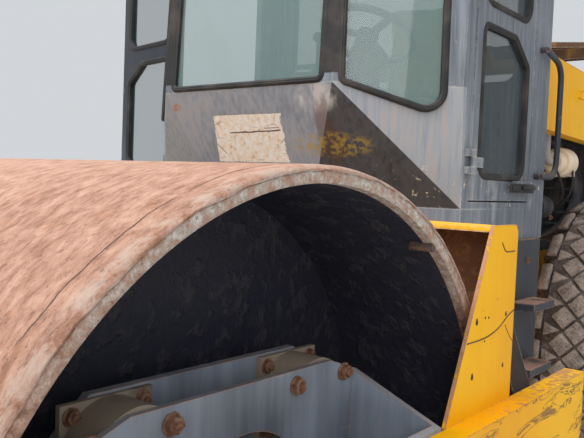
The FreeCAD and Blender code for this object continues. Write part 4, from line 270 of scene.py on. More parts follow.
def drum_rust():
    """The drum's rolling face: tan rust, finely pitted round the drum, with a torn line near each end and a painted
    highlight where it faces up.
    """
    f = Finish("drum_rust")
    round_way = (1, 0.4, 0.4)
    pits = f.grain(0.0065, 6, 0.75, round_way)
    flakes = f.grain(0.024, 6, 0.72, (1, 0.5, 0.5), 0.3)
    broad = f.grain(0.5, 3)
    colour = f.tones(
        flakes * 0.7 + broad * 0.3,
        (0.36, "rust brown"),
        (0.46, "rust tan"),
        (0.58, "rust pale"),
        (0.7, "rust tan"),
    )
    colour = f.over(f.between(f.grain(0.06, 6, 0.7), 0.54, 0.72) * 0.45, colour, "rust orange")
    colour = f.over(f.between(pits, 0.53, 0.68) * 0.75, colour, "rust dark")
    # Painted highlight: the drum is made paler where it faces straight up
    colour = f.over(f.upward(0.9, 1.0) * 0.12, colour, "rust pale")
    out = f.node("ShaderNodeMath", {"operation": "ABSOLUTE"}, {0: f.part_of(0)})
    torn = f.line(out + f.grain(0.12, 5, 0.65) * 0.03, 0.995, 0.0022) * f.between(f.grain(0.25, 3), 0.4, 0.5)
    colour = f.over(torn * 0.85, colour, "rust dark")
    colour = f.over(f.between(out, 1.0, 1.035) * f.between(flakes, 0.4, 0.6) * 0.6, colour, "scale grey")
    return f.done(colour, 0.62 + flakes * 0.25, pits * -0.9 + flakes * 0.6 - torn * 2.0, 0.005)


def rim_scale():
    """The drum's cut end: grey scale over the top, browner rust down the sides."""
    f = Finish("rim_scale")
    flakes = f.grain(0.016, 6, 0.7)
    broad = f.grain(0.3, 3)
    rusty = f.tones(flakes, (0.36, "rust dark"), (0.48, "rust brown"), (0.62, "rust tan"))
    grey = f.tones(flakes, (0.36, "rust tan"), (0.5, "scale grey"), (0.66, "chalk"))
    top = f.between(f.part_of(2) + broad * 0.5, 1.35, 1.72)
    colour = f.over(top, rusty, grey)
    colour = f.over(f.between(f.grain(0.006, 5, 0.7), 0.56, 0.7) * 0.75, colour, "rust dark")
    return f.done(colour, 0.75, flakes, 0.004)


def drum_dark():
    """Inside the drum: black grease tinted blue as painted shade, lumps of dried mud and a duller band low down."""
    f = Finish("drum_dark")
    lumps = f.grain(0.022, 6, 0.62)
    clods = f.between(f.grain(0.05, 4, 0.6), 0.5, 0.66)
    broad = f.grain(0.5, 3)
    # The darkest tone is soot with a painted blue shade tint
    colour = f.tones(broad * 0.4 + lumps * 0.3 + clods * 0.3, (0.24, "drum soot and shade blue"), (0.62, "drum mud"))
    colour = f.over(f.between(f.part_of(1), 0.05, 0.6) * (0.35 + clods * 0.4), colour, "drum mud")
    low = f.between(f.part_of(2), 0.5, 0.05)
    colour = f.over(low * f.between(f.grain(0.12, 5), 0.4, 0.62) * 0.8, colour, "mud")
    return f.done(colour, 0.5 + lumps * 0.3, lumps * 0.6 + clods * 0.5, 0.006)


def painted(name, base, deep, faded, under, edge=0.01, chips=0.66, dusty=0.5, gloss=0.42, streaky=0.5, shine=0.35,
            worn_ends=0.0):
    """Old paint: faded patches, rain streaks, chips down to the metal, worn edges and dust."""
    f = Finish(name)
    broad = f.grain(0.6, 3)
    streaks = f.grain(0.05, 5, 0.6, (1, 1, 0.08))
    wash = broad * (1 - streaky) + streaks * streaky
    colour = f.tones(wash, (0.34, deep), (0.5, base), (0.7, faded))
    scratch = f.between(f.grain(0.012, 3, 0.5, (0.35, 0.05, 1), 0.6), 0.7, 0.78)
    colour = f.over(scratch * 0.35, colour, faded)
    fine = f.grain(0.02, 6, 0.7)
    scuffs = f.between(f.grain(0.05, 5, 0.7, (1, 0.3, 1), 1.2), 0.62, 0.7) * f.between(f.grain(0.4, 3), 0.5, 0.62)
    colour = f.over(scuffs * 0.55, colour, under)
    spots = f.between(f.grain(0.08, 6, 0.72, warp=0.3), chips, chips + 0.02)
    ragged = f.between(fine + f.grain(0.15, 4) * 0.6, 0.66, 0.9)
    rim = f.edges(edge)
    bare = spots > rim * (0.45 + ragged * 0.6)
    if worn_ends:
        flat = f.node("ShaderNodeNewGeometry", out="Normal")
        sideways = f.node("ShaderNodeMath", {"operation": "ABSOLUTE"}, {0: f.part_of(0, flat)})
        ends = 1 - f.between(sideways, 0.3, 0.6)
        bare = bare > ends * f.between(fine + broad * 0.6, 0.62, 0.8) * worn_ends
    metal = f.tones(fine, (0.35, "rust dark"), (0.5, under), (0.68, "bare edge"))
    colour = f.over(bare, colour, metal)
    dust = f.upward() * f.between(f.grain(0.2, 5), 0.3, 0.7) * dusty
    colour = f.over(dust, colour, "dust")
    rough = gloss + broad * 0.18 + bare * 0.3 + dust * 0.3
    return f.done(colour, rough, (1 - bare) * 0.8 + fine * 0.15, 0.001, 0, Specular_IOR_Level=shine)


def step_paint():
    """Dark paint on the step plates, rubbed down to pinkish rust where boots stand."""
    f = Finish("step_paint")
    fine = f.grain(0.02, 6, 0.7)
    broad = f.grain(0.2, 4)
    colour = f.tones(fine * 0.5 + broad * 0.5, (0.36, "shade grey"), (0.6, "shade blue"))
    rubbed = f.upward() * f.between(broad + fine * 0.5, 0.55, 0.8) > f.edges(0.008) * f.between(fine, 0.45, 0.6)
    colour = f.over(rubbed * 0.85, colour, f.tones(fine, (0.36, "tyre"), (0.52, "bare edge"), (0.66, "dust")))
    return f.done(colour, 0.55 + rubbed * 0.2, fine, 0.001)


def beam_paint():
    """The side beams' yellow: rubbed top edges and long curved scrapes down to brown on the outer side."""
    f = Finish("beam_paint")
    fine = f.grain(0.02, 6, 0.7)
    broad = f.grain(0.5, 3)
    colour = f.tones(broad, (0.34, "yellow deep"), (0.5, "yellow"), (0.7, "yellow faded"))
    lines = f.grain(0.05, 3, 0.5, (1, 0.22, 0.9), 0.8)
    scrape = f.line(lines, 0.53, 0.012) > f.line(lines, 0.6, 0.03)
    reach = f.between(f.part_of(1), 0.3, 0.62) * f.between(f.grain(0.3, 3), 0.4, 0.5)
    scrape = scrape * reach * (1 - f.upward(0.3, 0.6))
    rubbed = f.upward() * f.between(fine + broad * 0.5, 0.68, 0.85) * f.between(f.part_of(1), 0.45, 0.75)
    spots = f.between(f.grain(0.06, 6, 0.72, warp=0.3), 0.66, 0.68)
    rim = f.edges(0.008) * f.between(fine + broad * 0.6, 0.6, 0.8)
    bare = spots > rim * 0.8
    colour = f.over(scrape * 0.8, colour, f.tones(fine, (0.36, "grime brown"), (0.6, "rust brown")))
    colour = f.over(rubbed * 0.8 > bare, colour, f.tones(fine, (0.36, "rust brown"), (0.55, "bare edge")))
    return f.done(colour, 0.45 + broad * 0.15, fine * 0.2 - scrape, 0.0012, 0, Specular_IOR_Level=0.18)


def shaded_grime_yellow(name, grime_and_shade_to):
    """Yellow paint under oil and brown grime, clean only where it faces up or lies above a height; the brown on faces
    that don't face up is partly painted shade, and painted shade turns the back end's sides near black.
    """
    f = Finish(name)
    fine = f.grain(0.02, 6, 0.7)
    broad = f.grain(0.22, 5, 0.6)
    colour = f.tones(broad * 0.6 + fine * 0.4, (0.36, "yellow deep"), (0.5, "yellow"), (0.66, "yellow faded"))
    # Partly grime and partly painted shade: faces that don't face up, below a height, turn brown
    grime_and_shade = f.between(broad + fine * 0.4, 0.5, 0.72) * 0.35 + 0.62
    grime_and_shade = grime_and_shade * (1 - f.upward(0.8, 0.95)) * (1 - f.between(f.part_of(2), grime_and_shade_to, grime_and_shade_to + 0.01))
    grime_and_shade_tones = f.tones(fine, (0.34, "rust dark"), (0.5, "grime brown"), (0.7, "rust brown"))
    # Painted shade: the back end of the rear crossmember, beside the gussets, goes near black where it doesn't face up
    rear = f.between(f.part_of(1), 0.85, 0.88) * (1 - f.between(f.part_of(1), 1.0, 1.05))
    colour = f.over(grime_and_shade, colour, grime_and_shade_tones)
    colour = f.over(rear * (1 - f.upward(0.5, 0.8)) * 0.9, colour, "soot")
    rim = f.edges(0.008) * f.between(fine, 0.4, 0.6)
    colour = f.over(rim * 0.7, colour, "cream")
    dust = f.upward() * f.between(f.grain(0.1, 5), 0.4, 0.7)
    colour = f.over(dust * 0.5, colour, "dust")
    return f.done(colour, 0.5 + grime_and_shade * 0.35, fine + grime_and_shade * 0.5, 0.002)


def cab_paint():
    """The cab's grey paint: soft chalky streaks, washed-out edges and cream chips along the sills."""
    f = Finish("cab_paint")
    broad = f.grain(0.5, 3)
    streaks = f.grain(0.02, 5, 0.62, (1, 1, 0.05))
    colour = f.tones(broad * 0.45 + streaks * 0.55, (0.3, "cab dark"), (0.5, "cab grey"), (0.72, "cab pale"))
    fine = f.grain(0.02, 6, 0.7)
    washed = f.between(f.grain(0.2, 5, 0.6, (1, 1, 0.5)), 0.6, 0.74)
    colour = f.over(washed * 0.35, colour, "chalk")
    rim = f.edges(0.009) * f.between(fine + broad * 0.7, 0.78, 1.0)
    colour = f.over(rim * 0.6, colour, "chalk")
    sill = f.band(f.part_of(2), 1.41, 1.56, 0.02)
    chips = f.between(f.grain(0.035, 6, 0.7, warp=0.4), 0.62, 0.64) * (0.1 + sill * 0.9)
    colour = f.over(chips, colour, "cream")
    spots = f.between(f.grain(0.035, 5, 0.7), 0.72, 0.74)
    colour = f.over(spots * 0.8, colour, "rust brown")
    dust = f.upward() * f.between(f.grain(0.2, 5), 0.3, 0.7) * 0.6
    colour = f.over(dust, colour, "dust")
    return f.done(colour, 0.48 + broad * 0.2, streaks * 0.3 - chips, 0.001)


def nose_paint():
    """The cab's front panels: pale and streaked ahead, with painted shade making the downward-slanted one nearly black,
    and a torn cream patch.
    """
    f = Finish("nose_paint")
    across, height = f.part_of(0), f.part_of(2)
    broad = f.grain(0.4, 3)
    streaks = f.grain(0.016, 5, 0.62, (1, 1, 0.06))
    fine = f.grain(0.02, 6, 0.7)
    colour = f.tones(broad * 0.5 + streaks * 0.5, (0.3, "cab grey"), (0.5, "cab pale"), (0.7, "scale grey"))
    low = f.between(height + broad * 0.2, 1.74, 1.56)
    colour = f.over(low * 0.12, colour, "cab dark")
    # Painted shade: the panel that faces down and sideways is made nearly black, as if in shadow
    flat = f.node("ShaderNodeNewGeometry", out="Normal")
    slanted = f.between(f.part_of(0, flat), 0.1, 0.2) * f.between(f.part_of(2, flat) * -1, 0.2, 0.3)
    dark = f.tones(streaks * 0.6 + broad * 0.4, (0.36, "soot"), (0.5, "painted shade dark"), (0.68, "cab dark"))
    colour = f.over(slanted * 0.9, colour, dark)
    # The patch where an old label was torn off, with cracked paint and a slit across it
    tear = f.grain(0.05, 5, 0.7)
    left = f.between(across + (1.62 - height) * 0.11 + tear * 0.01, -0.176, -0.173)
    patch = left * (1 - f.between(across + tear * 0.06, 0.19, 0.193))
    patch = patch * f.band(height + tear * 0.006, 1.541, 1.711, 0.001)
    cracks = 1 - f.between(f.cells(0.11, "DISTANCE_TO_EDGE", (0.6, 1, 1.5)), 0.003, 0.012)
    cracks = cracks * f.between(f.grain(0.09, 3), 0.47, 0.53)
    slit = f.line(height + tear * 0.012 - across * 0.03, 1.652, 0.0034) * f.band(across, -0.1, 0.15)
    colour = f.over(patch, colour, f.tones(fine, (0.3, "dust"), (0.42, "cream"), (0.6, "white")))
    colour = f.over(patch * (cracks * 0.75 > slit), colour, "rust dark")
    scrape = f.near((0.33, 0.87, 1.755), (0.1, 0.3, 0.06)) * f.between(f.grain(0.05, 5, 0.7, (1, 1, 0.4)), 0.4, 0.56)
    colour = f.over(scrape * 0.7, colour, "chalk")
    run = f.near((0.36, 0.88, 1.63), (0.07, 0.3, 0.16)) * f.between(f.grain(0.07, 5, 0.7, (1, 1, 0.4)), 0.4, 0.56)
    colour = f.over(run * 0.6, colour, "grime brown")
    growth = f.near((0.36, 0.92, 1.6), (0.19, 0.2, 0.05)) * f.between(fine, 0.44, 0.58)
    colour = f.over(growth * 0.7, colour, "lichen")
    rust = f.near((-0.37, 0.87, 1.745), (0.04, 0.1, 0.018)) * f.between(fine, 0.4, 0.55)
    colour = f.over(rust * 0.9, colour, "rust orange")
    rim = f.edges(0.01) * f.between(fine + broad * 0.7, 0.72, 1.0)
    colour = f.over(rim * 0.6, colour, "chalk")
    foot = f.between(height, 1.6, 1.44) * f.between(across, 0.4, 0.6)
    chips = f.between(f.grain(0.03, 6, 0.7, warp=0.4), 0.61, 0.63) * foot
    colour = f.over(chips, colour, "cream")
    return f.done(colour, 0.48 + broad * 0.2, streaks * 0.3 - chips - patch * 0.5, 0.001)


def old_rubber(name, dusty=0.35, clean=0.45):
    """Black rubber with dust in its pores."""
    f = Finish(name)
    fine = f.grain(0.012, 5)
    film = f.between(f.grain(0.12, 5), clean, clean + 0.3) * dusty
    colour = f.over(film, f.tones(fine, (0.3, "soot"), (0.7, "rubber")), "dust")
    return f.done(colour, 0.5 + fine * 0.3, fine, 0.001)


def tyre_rubber():
    """Tyre rubber: dark grooves, and blocks with dusty tops and paler worn rims."""
    f = Finish("tyre_rubber")
    fine = f.grain(0.009, 6, 0.72)
    patches = f.grain(0.07, 5, 0.6)
    arm = f.node("ShaderNodeVectorMath", {"operation": "SUBTRACT"}, {0: f.spot, 1: (0, WHEEL_Y, WHEEL_Z)})
    arm = f.node("ShaderNodeVectorMath", {"operation": "MULTIPLY"}, {0: arm, 1: (0, 1, 1)})
    reach = f.node("ShaderNodeVectorMath", {"operation": "LENGTH"}, {0: arm}, 1)
    worn = f.between(reach, 0.697, 0.708)
    colour = f.tones(patches * 0.5 + fine * 0.5, (0.34, "rubber"), (0.5, "peg brown"), (0.66, "tyre"))
    tops = f.tones(patches * 0.4 + fine * 0.6, (0.36, "peg brown"), (0.48, "tyre"), (0.64, "tyre dust"))
    colour = f.over(worn, colour, tops)
    rim = f.edges(0.007) * f.between(fine, 0.36, 0.6)
    colour = f.over(rim * worn * 0.35, colour, "tyre dust")
    return f.done(colour, 0.8 + fine * 0.15, fine + patches, 0.003)


def caked_bolt():
    """Rusty bolts with mud dried onto them."""
    f = Finish("caked_bolt")
    fine = f.grain(0.006, 5, 0.65)
    clods = f.grain(0.02, 4)
    colour = f.tones(clods, (0.36, "rust dark"), (0.5, "rust brown"), (0.62, "mud"))
    return f.done(colour, 0.85, fine + clods, 0.004)


def seat_vinyl():
    """Olive vinyl, grained, cracked and pale where it is sat on."""
    f = Finish("seat_vinyl")
    pores = f.cells(0.004)
    wear = f.between(f.grain(0.12, 5), 0.42, 0.66)
    colour = f.over(wear * 0.6, f.tones(f.grain(0.2, 4), (0.35, "vinyl"), (0.7, "vinyl worn")), "vinyl worn")
    cracks = 1 - f.between(f.cells(0.07, "DISTANCE_TO_EDGE"), 0.0, 0.03)
    colour = f.over(cracks * 0.4, colour, "soot")
    return f.done(colour, 0.5 + wear * 0.2, pores - cracks, 0.0008)


def moulded(name, base, shine=0.45):
    """Moulded plastic with a fine grain and some dust."""
    f = Finish(name)
    fine = f.grain(0.003, 3)
    colour = f.over(f.upward() * f.between(f.grain(0.15, 5), 0.4, 0.7) * 0.5, f.tones(fine, (0, base), (1, base)), "dust")
    return f.done(colour, shine + fine * 0.1, fine, 0.0004)


def machined(name, base, rough=0.3):
    """Bare metal with brush marks and stains."""
    f = Finish(name)
    brushed = f.grain(0.004, 4, 0.6, (0.1, 1, 1))
    stain = f.between(f.grain(0.06, 5), 0.5, 0.7)
    colour = f.over(stain * 0.35, f.tones(brushed, (0.2, base), (0.9, "steel")), "oil")
    return f.done(colour, rough + stain * 0.25, brushed, 0.0005, 0.85)


def cast_grime(name, base, under, oily=0.6):
    """Castings under oil and dust."""
    f = Finish(name)
    fine = f.grain(0.01, 5, 0.7)
    broad = f.grain(0.16, 5)
    colour = f.tones(broad * 0.6 + fine * 0.4, (0.36, "oil"), (0.5, base), (0.68, under))
    wet = f.between(f.grain(0.22, 4), 0.45, 0.62) * oily
    colour = f.over(wet * 0.7, colour, "soot")
    dust = f.upward() * f.between(f.grain(0.1, 5), 0.4, 0.65)
    colour = f.over(dust * 0.6, colour, "dust")
    return f.done(colour, 0.7 - wet * 0.35, fine + broad, 0.003)


def window_glass(name, tint, dense):
    """Greenish glass with a light film of dust and wiped streaks."""
    f = Finish(name)
    film = f.between(f.grain(0.3, 5, 0.6, (1, 1, 0.5)), 0.5, 0.85)
    colour = f.over(film * 0.25, f.tones(film, (0, tint), (1, tint)), "dust")
    return f.done(colour, 0.03 + film * 0.06, None, 0, 0, Alpha=film * 0.12 + dense, Specular_IOR_Level=0.8)


def lamp_glass():
    """A lamp's ribbed lens."""
    f = Finish("lamp_glass")
    ribs = f.grain(0.004, 2, 0.5, (1, 0.1, 0.1))
    colour = f.tones(f.grain(0.03, 4), (0.3, "lamp"), (0.8, "dust"))
    return f.done(colour, 0.12, ribs, 0.002, 0, Coat_Weight=0.6)


PAINT = {
    "yellow": painted("yellow_paint", "yellow", "yellow deep", "yellow faded", "rust brown", 0.008, 0.67, 0.3, 0.42, 0.2, 0.18),
    "slate": painted("slate_paint", "slate", "slate dark", "slate pale", "rust tan", 0.006, 0.69, 0.35, 0.34, 0.3),
    "gusset": painted(
        "gusset_paint", "yellow", "yellow deep", "yellow faded", "rust tan", 0.006, 0.67, 0.2, 0.42, 0.2, 0.18, 0.95
    ),
    "beam": beam_paint(),
    "dark slate": painted("dark_slate_paint", "shade blue", "shade grey", "slate dark", "rust tan", 0.006, 0.69, 0.4, 0.4, 0.3),
    "step": step_paint(),
    # Painted shade: the right door in dark tones, as if it stood in shadow
    "door painted shade": painted("door_painted_shade_paint", "shade blue", "shade grey", "slate dark", "chalk", 0.006, 0.74, 0.3, 0.4, 0.3),
    # Yellow whose brown on faces that don't face up is partly painted shade
    "shaded grime": shaded_grime_yellow("shaded_grime_yellow", 1.358),
    # The engine lid: brown that is partly painted shade on every face that doesn't face up
    "lid": shaded_grime_yellow("lid_shaded_grime_yellow", 9.0),
    "cab": cab_paint(),
    "nose": nose_paint(),
    "drum": drum_rust(),
    "rim": rim_scale(),
    "drum inside": drum_dark(),
    "rubber": old_rubber("seal_rubber", 0.12),
    "buffer": old_rubber("buffer_rubber", 0.85, 0.2),
    "tyre": tyre_rubber(),
    "bolt": caked_bolt(),
    "burnt": cast_grime("burnt_paint", "soot", "rust dark", 0.2),
    "peg": cast_grime("peg_rust", "peg brown", "rust brown", 0.2),
    "vinyl": seat_vinyl(),
    "plastic": moulded("dark_plastic", "plastic"),
    "cream plastic": moulded("cream_plastic", "cream", 0.55),
    "rod": machined("rod_chrome", "steel", 0.15),
    "steel": machined("worn_steel", "steel", 0.45),
    "cast": cast_grime("engine_cast", "slate dark", "mud"),
    "yellow cast": cast_grime("engine_yellow", "yellow deep", "mud", 0.8),
    "hot": cast_grime("hot_rust", "rust brown", "rust orange", 0.2),
    "glass": window_glass("window_glass", "glass", 0.42),
    "door glass": window_glass("door_window_glass", "door glass", 0.3),
    "lamp": lamp_glass(),
    "duct": painted("duct_paint", "scale grey", "cab pale", "chalk", "rust brown", 0.004, 0.7, 0.4, 0.5, 0.2),
}

# Each finish and the frame's nodes that it covers
DRESS = {
    "yellow": (
        "front_crossmember rear_chassis engine_panels bay_front_frame rear_grille rear_bumper "
        "rim_left rim_right"
    ),
    "gusset": "gussets",
    "beam": "side_beam_left side_beam_right",
    "shaded grime": "rear_crossmember steering_clevis centre_link",
    "lid": "engine_lid",
    "slate": (
        "drum_bracket_left drum_bracket_right drum_mounts drum_scrapers steering_barrel_left "
        "steering_barrel_right air_pipe"
    ),
    "dark slate": "cab_deck rear_axle side_tanks handrails",
    "step": "steps",
    # The right door gets dark tones as painted shade
    "door painted shade": "door_right",
    "cab": "cab_frame cab_base cab_roof door_left door_hinges",
    "nose": "cab_nose",
    "glass": "cab_glass",
    "door glass": "door_glass_left door_glass_right",
    "drum": "drum_shell",
    "drum inside": "drum_heads drum_exciter",
    "buffer": "drum_buffers",
    "tyre": "tyre_left tyre_right",
    "rod": "steering_rod_left steering_rod_right",
    "vinyl": "seat",
    "plastic": "steering_column console work_lamps",
    "cast": "engine radiator",
    "hot": "exhaust",
    "cream plastic": "air_cleaner",
}


def dress_nodes():
    for finish, names in DRESS.items():
        for name in names.split():
            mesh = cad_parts[name].data
            mesh.materials.clear()
            mesh.materials.append(PAINT[finish])


# Shapes


def piece(name, form, body, finishes, crease=32, replaces=()):
    """Turns a form into a named piece that rides on a body."""
    mesh = bpy.data.meshes.new(name)
    form.to_mesh(mesh)
    form.free()
    for finish in finishes.split(", "):
        mesh.materials.append(PAINT[finish])
    mesh.polygons.foreach_set("use_smooth", [True] * len(mesh.polygons))
    mesh.set_sharp_from_angle(angle=math.radians(crease))
    thing = bpy.data.objects.new(name, mesh)
    bpy.context.scene.collection.objects.link(thing)
    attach(thing, body)
    if replaces:
        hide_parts(*replaces)
    return thing


def facing(out, at):
    """A placement whose Z runs along a direction."""
    turn = Vector(out).to_track_quat("Z", "Y").to_matrix().to_4x4()
    return Matrix.Translation(at) @ turn


def drum_form(form, start, end, radius, radius_end=None, sides=24, rounding=0.0):
    """A round bar or cone from one point to another, its ends rounded off."""
    run = Vector(end) - Vector(start)
    made = bmesh.ops.create_cone(
        form,
        cap_ends=True,
        segments=sides,
        radius1=radius,
        radius2=radius if radius_end is None else radius_end,
        depth=run.length,
        matrix=facing(run, (Vector(start) + Vector(end)) / 2),
    )
    verts = made["verts"]
    if rounding:
        caps = {f for v in verts for f in v.link_faces if len(f.verts) == sides}
        rims = list({e for f in caps for e in f.edges})
        bmesh.ops.bevel(
            form, geom=rims, offset=rounding, segments=2, profile=0.5, affect="EDGES", material=-1
        )
    return verts


def block(form, low, high, rounding=0.004, steps=2):
    """A box between two corners with rounded edges."""
    low, high = Vector(low), Vector(high)
    sizes = Matrix.Diagonal((*[abs(c) for c in high - low], 1))
    made = bmesh.ops.create_cube(form, size=1, matrix=Matrix.Translation((low + high) / 2) @ sizes)
    edges = list({e for v in made["verts"] for e in v.link_edges})
    if rounding:
        bmesh.ops.bevel(
            form, geom=edges, offset=rounding, segments=steps, profile=0.5, affect="EDGES", material=-1
        )


def spun(form, profile, centre, axis, steps):
    """A closed profile of points turned once about an axis."""
    verts = [form.verts.new(p) for p in profile]
    edges = [form.edges.new((verts[i], verts[(i + 1) % len(verts)])) for i in range(len(verts))]
    bmesh.ops.spin(
        form, geom=verts + edges, cent=centre, axis=axis, angle=math.tau, steps=steps, use_merge=True
    )


def bolt(form, at, out, size, turn=0.0, washer=1.35):
    """A hexagon head on a washer, with a stud's end; size is half the head's width."""
    lay = facing(out, at)
    for radius, sides, low, high in (
        (size * washer, 20, 0, size * 0.22),
        (size * 1.1, 6, size * 0.2, size * 0.95),
        (size * 0.52, 12, size * 0.9, size * 1.3),
    ):
        spin = Matrix.Rotation(turn, 4, "Z") @ Matrix.Translation((0, 0, (low + high) / 2))
        made = bmesh.ops.create_cone(
            form,
            cap_ends=True,
            segments=sides,
            radius1=radius,
            radius2=radius,
            depth=high - low,
            matrix=lay @ spin,
        )
        caps = {f for v in made["verts"] for f in v.link_faces if len(f.verts) == sides}
        rims = list({e for f in caps for e in f.edges})
        bmesh.ops.bevel(
            form, geom=rims, offset=size * 0.08, segments=2, profile=0.5, affect="EDGES", material=-1
        )


def roughen(form, amount, size):
    """Moves every point a little, by smooth noise."""
    for vert in form.verts:
        vert.co += noise.noise_vector(vert.co / size) * amount


def tube(form, points, radius, sides=12, closed=False):
    """A pipe along points, joined by a smooth curve."""
    line = bpy.data.curves.new("line", "CURVE")
    line.dimensions = "3D"
    line.bevel_depth = radius
    line.bevel_resolution = max(1, sides // 4 - 1)
    line.use_fill_caps = not closed
    run = line.splines.new("NURBS")
    run.points.add(len(points) - 1)
    for point, at in zip(run.points, points):
        point.co = (*at, 1)
    run.order_u = 3
    run.use_cyclic_u = closed
    run.use_endpoint_u = not closed
    run.resolution_u = 8
    holder = bpy.data.objects.new("line", line)
    mesh = bpy.data.meshes.new_from_object(holder)
    form.from_mesh(mesh)
    bpy.data.objects.remove(holder)
    bpy.data.curves.remove(line)
    bpy.data.meshes.remove(mesh)


# Drum


def build_drum():
    low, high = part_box("drum_shell")
    radius = (high.z - low.z) / 2
    axle = Vector((0, 0, (high.z + low.z) / 2))
    half = high.x
    wall = 0.034
    burr = 0.0075
    out = []
    # From the middle of the rolling face round the worn end to the middle of the inside
    for across, depth in (
        (0.0, 0.0),
        (half - 0.03, 0.0),
        (half - 0.014, 0.0006),
        (half - 0.006, 0.003),
        (half - 0.001, 0.0075),
        (half - 0.0012, burr + 0.0025),
        (half - 0.0055, burr + 0.004),
        (half - 0.003, burr + 0.0065),
        (half - 0.002, wall - 0.004),
        (half - 0.005, wall),
        (half - 0.03, wall + 0.0005),
        (0.0, wall + 0.0005),
    ):
        out.append((across, radius - depth))
    ring = out + [(-x, r) for x, r in reversed(out) if x > 0]
    form = bmesh.new()
    spun(form, [(x, 0, axle.z + r) for x, r in ring], axle, X, 288)
    bmesh.ops.remove_doubles(form, verts=form.verts, dist=1e-6)
    bmesh.ops.recalc_face_normals(form, faces=form.faces)
    for vert in form.verts:
        arm = Vector((0, vert.co.y, vert.co.z - axle.z))
        depth = radius - arm.length
        if abs(vert.co.x) > half - 0.01 and burr < depth < burr + 0.008:
            jag = noise.noise(vert.co * 26) * 0.0045 + noise.noise(vert.co * 7) * 0.003
            vert.co += arm.normalized() * jag
    for face in form.faces:
        middle = face.calc_center_median()
        arm = Vector((0, middle.y, middle.z - axle.z))
        if radius - arm.length < burr + 0.003:
            face.material_index = 0
        else:
            face.material_index = 1 if abs(middle.x) > half - 0.02 else 2
    piece("drum_skin", form, "drum", "drum, rim, drum inside", 50, ["drum_shell"])
    form = bmesh.new()
    angle = math.radians(55)
    for _, side in SIDES:
        reach = radius - 0.04
        at = axle + Vector((0, math.cos(angle) * reach, math.sin(angle) * reach))
        end = side * (half - 0.0045)
        drum_form(form, at + X * end, at + X * (end - side * 0.0615), 0.0105, sides=16, rounding=0.002)
    roughen(form, 0.002, 0.02)
    piece("drum_pegs", form, "drum", "peg")


def bracket_bolts():
    """The nuts that hold the rubber mounts, on each bracket's outer side."""
    for name, side in SIDES:
        low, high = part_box(f"drum_bracket_{name}")
        face = low.x if side > 0 else high.x
        face += side * 0.014
        form = bmesh.new()
        chance = random.Random(4)
        # Each row: height above the axle, and the places front and rear of it
        for up, places in ((0.278, (-0.365, -0.195, 0.16, 0.335)), (0.085, (-0.31, 0.31)), (-0.175, (-0.3, 0.3))):
            for along in places:
                at = Vector((face, along, 0.75 + up))
                bolt(form, at, X * side, 0.0165, chance.random() * 3)
        roughen(form, 0.0035, 0.014)
        piece(f"bracket_bolts_{name}", form, "front_frame", "bolt")


def plate_bolts():
    """The nuts round each rubber mount's end plate."""
    low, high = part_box("drum_buffers")
    form = bmesh.new()
    chance = random.Random(9)
    for _, side in SIDES:
        face = side * 0.762
        for along in (low.y + 0.1, high.y - 0.1):
            for height in (low.z + 0.1, high.z - 0.1):
                for dy in (-0.078, 0.078):
                    for dz in (-0.078, 0.078):
                        at = Vector((face, along + dy, height + dz))
                        bolt(form, at, X * side, 0.013, chance.random() * 3)
    roughen(form, 0.002, 0.02)
    piece("plate_bolts", form, "front_frame", "bolt")


def bake(thing):
    """Makes a piece's modifiers part of its mesh."""
    old = thing.data
    shape = bpy.data.meshes.new_from_object(thing.evaluated_get(bpy.context.evaluated_depsgraph_get()))
    thing.modifiers.clear()
    thing.data = shape
    bpy.data.meshes.remove(old)


def gusset_marks():
    """Cracks in the paint of the gussets and small holes burnt in them."""
    cracks = bmesh.new()
    pits = bmesh.new()
    for _, side in SIDES:
        face = side * 1.0752
        for wide, line in (
            (0.0016, ((0.717, 1.334), (0.735, 1.312), (0.756, 1.307), (0.802, 1.309))),
            (0.0017, ((0.54, 1.098), (0.63, 1.096), (0.7, 1.106), (0.745, 1.122), (0.78, 1.141), (0.818, 1.15))),
            (0.0009, ((0.763, 1.116), (0.79, 1.085), (0.818, 1.066))),
        ):
            tube(cracks, [Vector((face, y, z)) for y, z in line], wide, 8)
        for y, z, size in (
            (0.589, 1.143, 0.0065),
            (0.765, 1.144, 0.0048),
            (0.761, 1.009, 0.0048),
            (0.578, 1.01, 0.0065),
            (0.637, 1.149, 0.0028),
            (0.658, 1.147, 0.0028),
            (0.64, 1.09, 0.0024),
        ):
            at = Vector((face, y, z))
            drum_form(pits, at - X * side * 0.001, at + X * side * 0.0006, size, sides=14)
            drum_form(pits, at - X * side * 0.001 + Z * size, at + X * side * 0.0004 + Z * size, size * 0.7, sides=12)
    piece("gusset_cracks", cracks, "front_frame", "burnt")
    piece("gusset_pits", pits, "front_frame", "burnt")


# Wheels

TYRE_HALF = 0.25
TREAD = 0.02
BEAD = 0.336
BLOCK_COUNT = 36
BLOCK_GROOVE = 0.0115
LUG_COUNT = 24
LUG_GROOVE = 0.056


def build_tyres():
    """Carcasses with a sunken middle, diamond blocks on it and long lugs on both shoulders."""
    for name, side in SIDES:
        low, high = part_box(f"tyre_{name}")
        radius = (high.z - low.z) / 2
        axle = (low + high) / 2
        half = TYRE_HALF
        base = radius - TREAD
        profile = [
            (-half + 0.045, BEAD),
            (-half + 0.02, BEAD + 0.05),
            (-half + 0.006, 0.5),
            (-half + 0.016, 0.6),
            (-half + 0.034, 0.648),
            (-half + 0.062, base - 0.022),
            (-half + 0.1, base),
        ]
        profile += [(-x, r) for x, r in reversed(profile)]
        form = bmesh.new()
        spun(form, [axle + X * x + Z * r for x, r in profile], axle, X, 96)
        bmesh.ops.remove_doubles(form, verts=form.verts, dist=1e-6)
        bmesh.ops.recalc_face_normals(form, faces=form.faces)
        tread_blocks(form, axle, radius)
        shoulder_lugs(form, axle, radius)
        roughen(form, 0.0012, 0.05)
        piece(f"tyre_rubber_{name}", form, f"wheel_{name}", "tyre", 30, [f"tyre_{name}"])


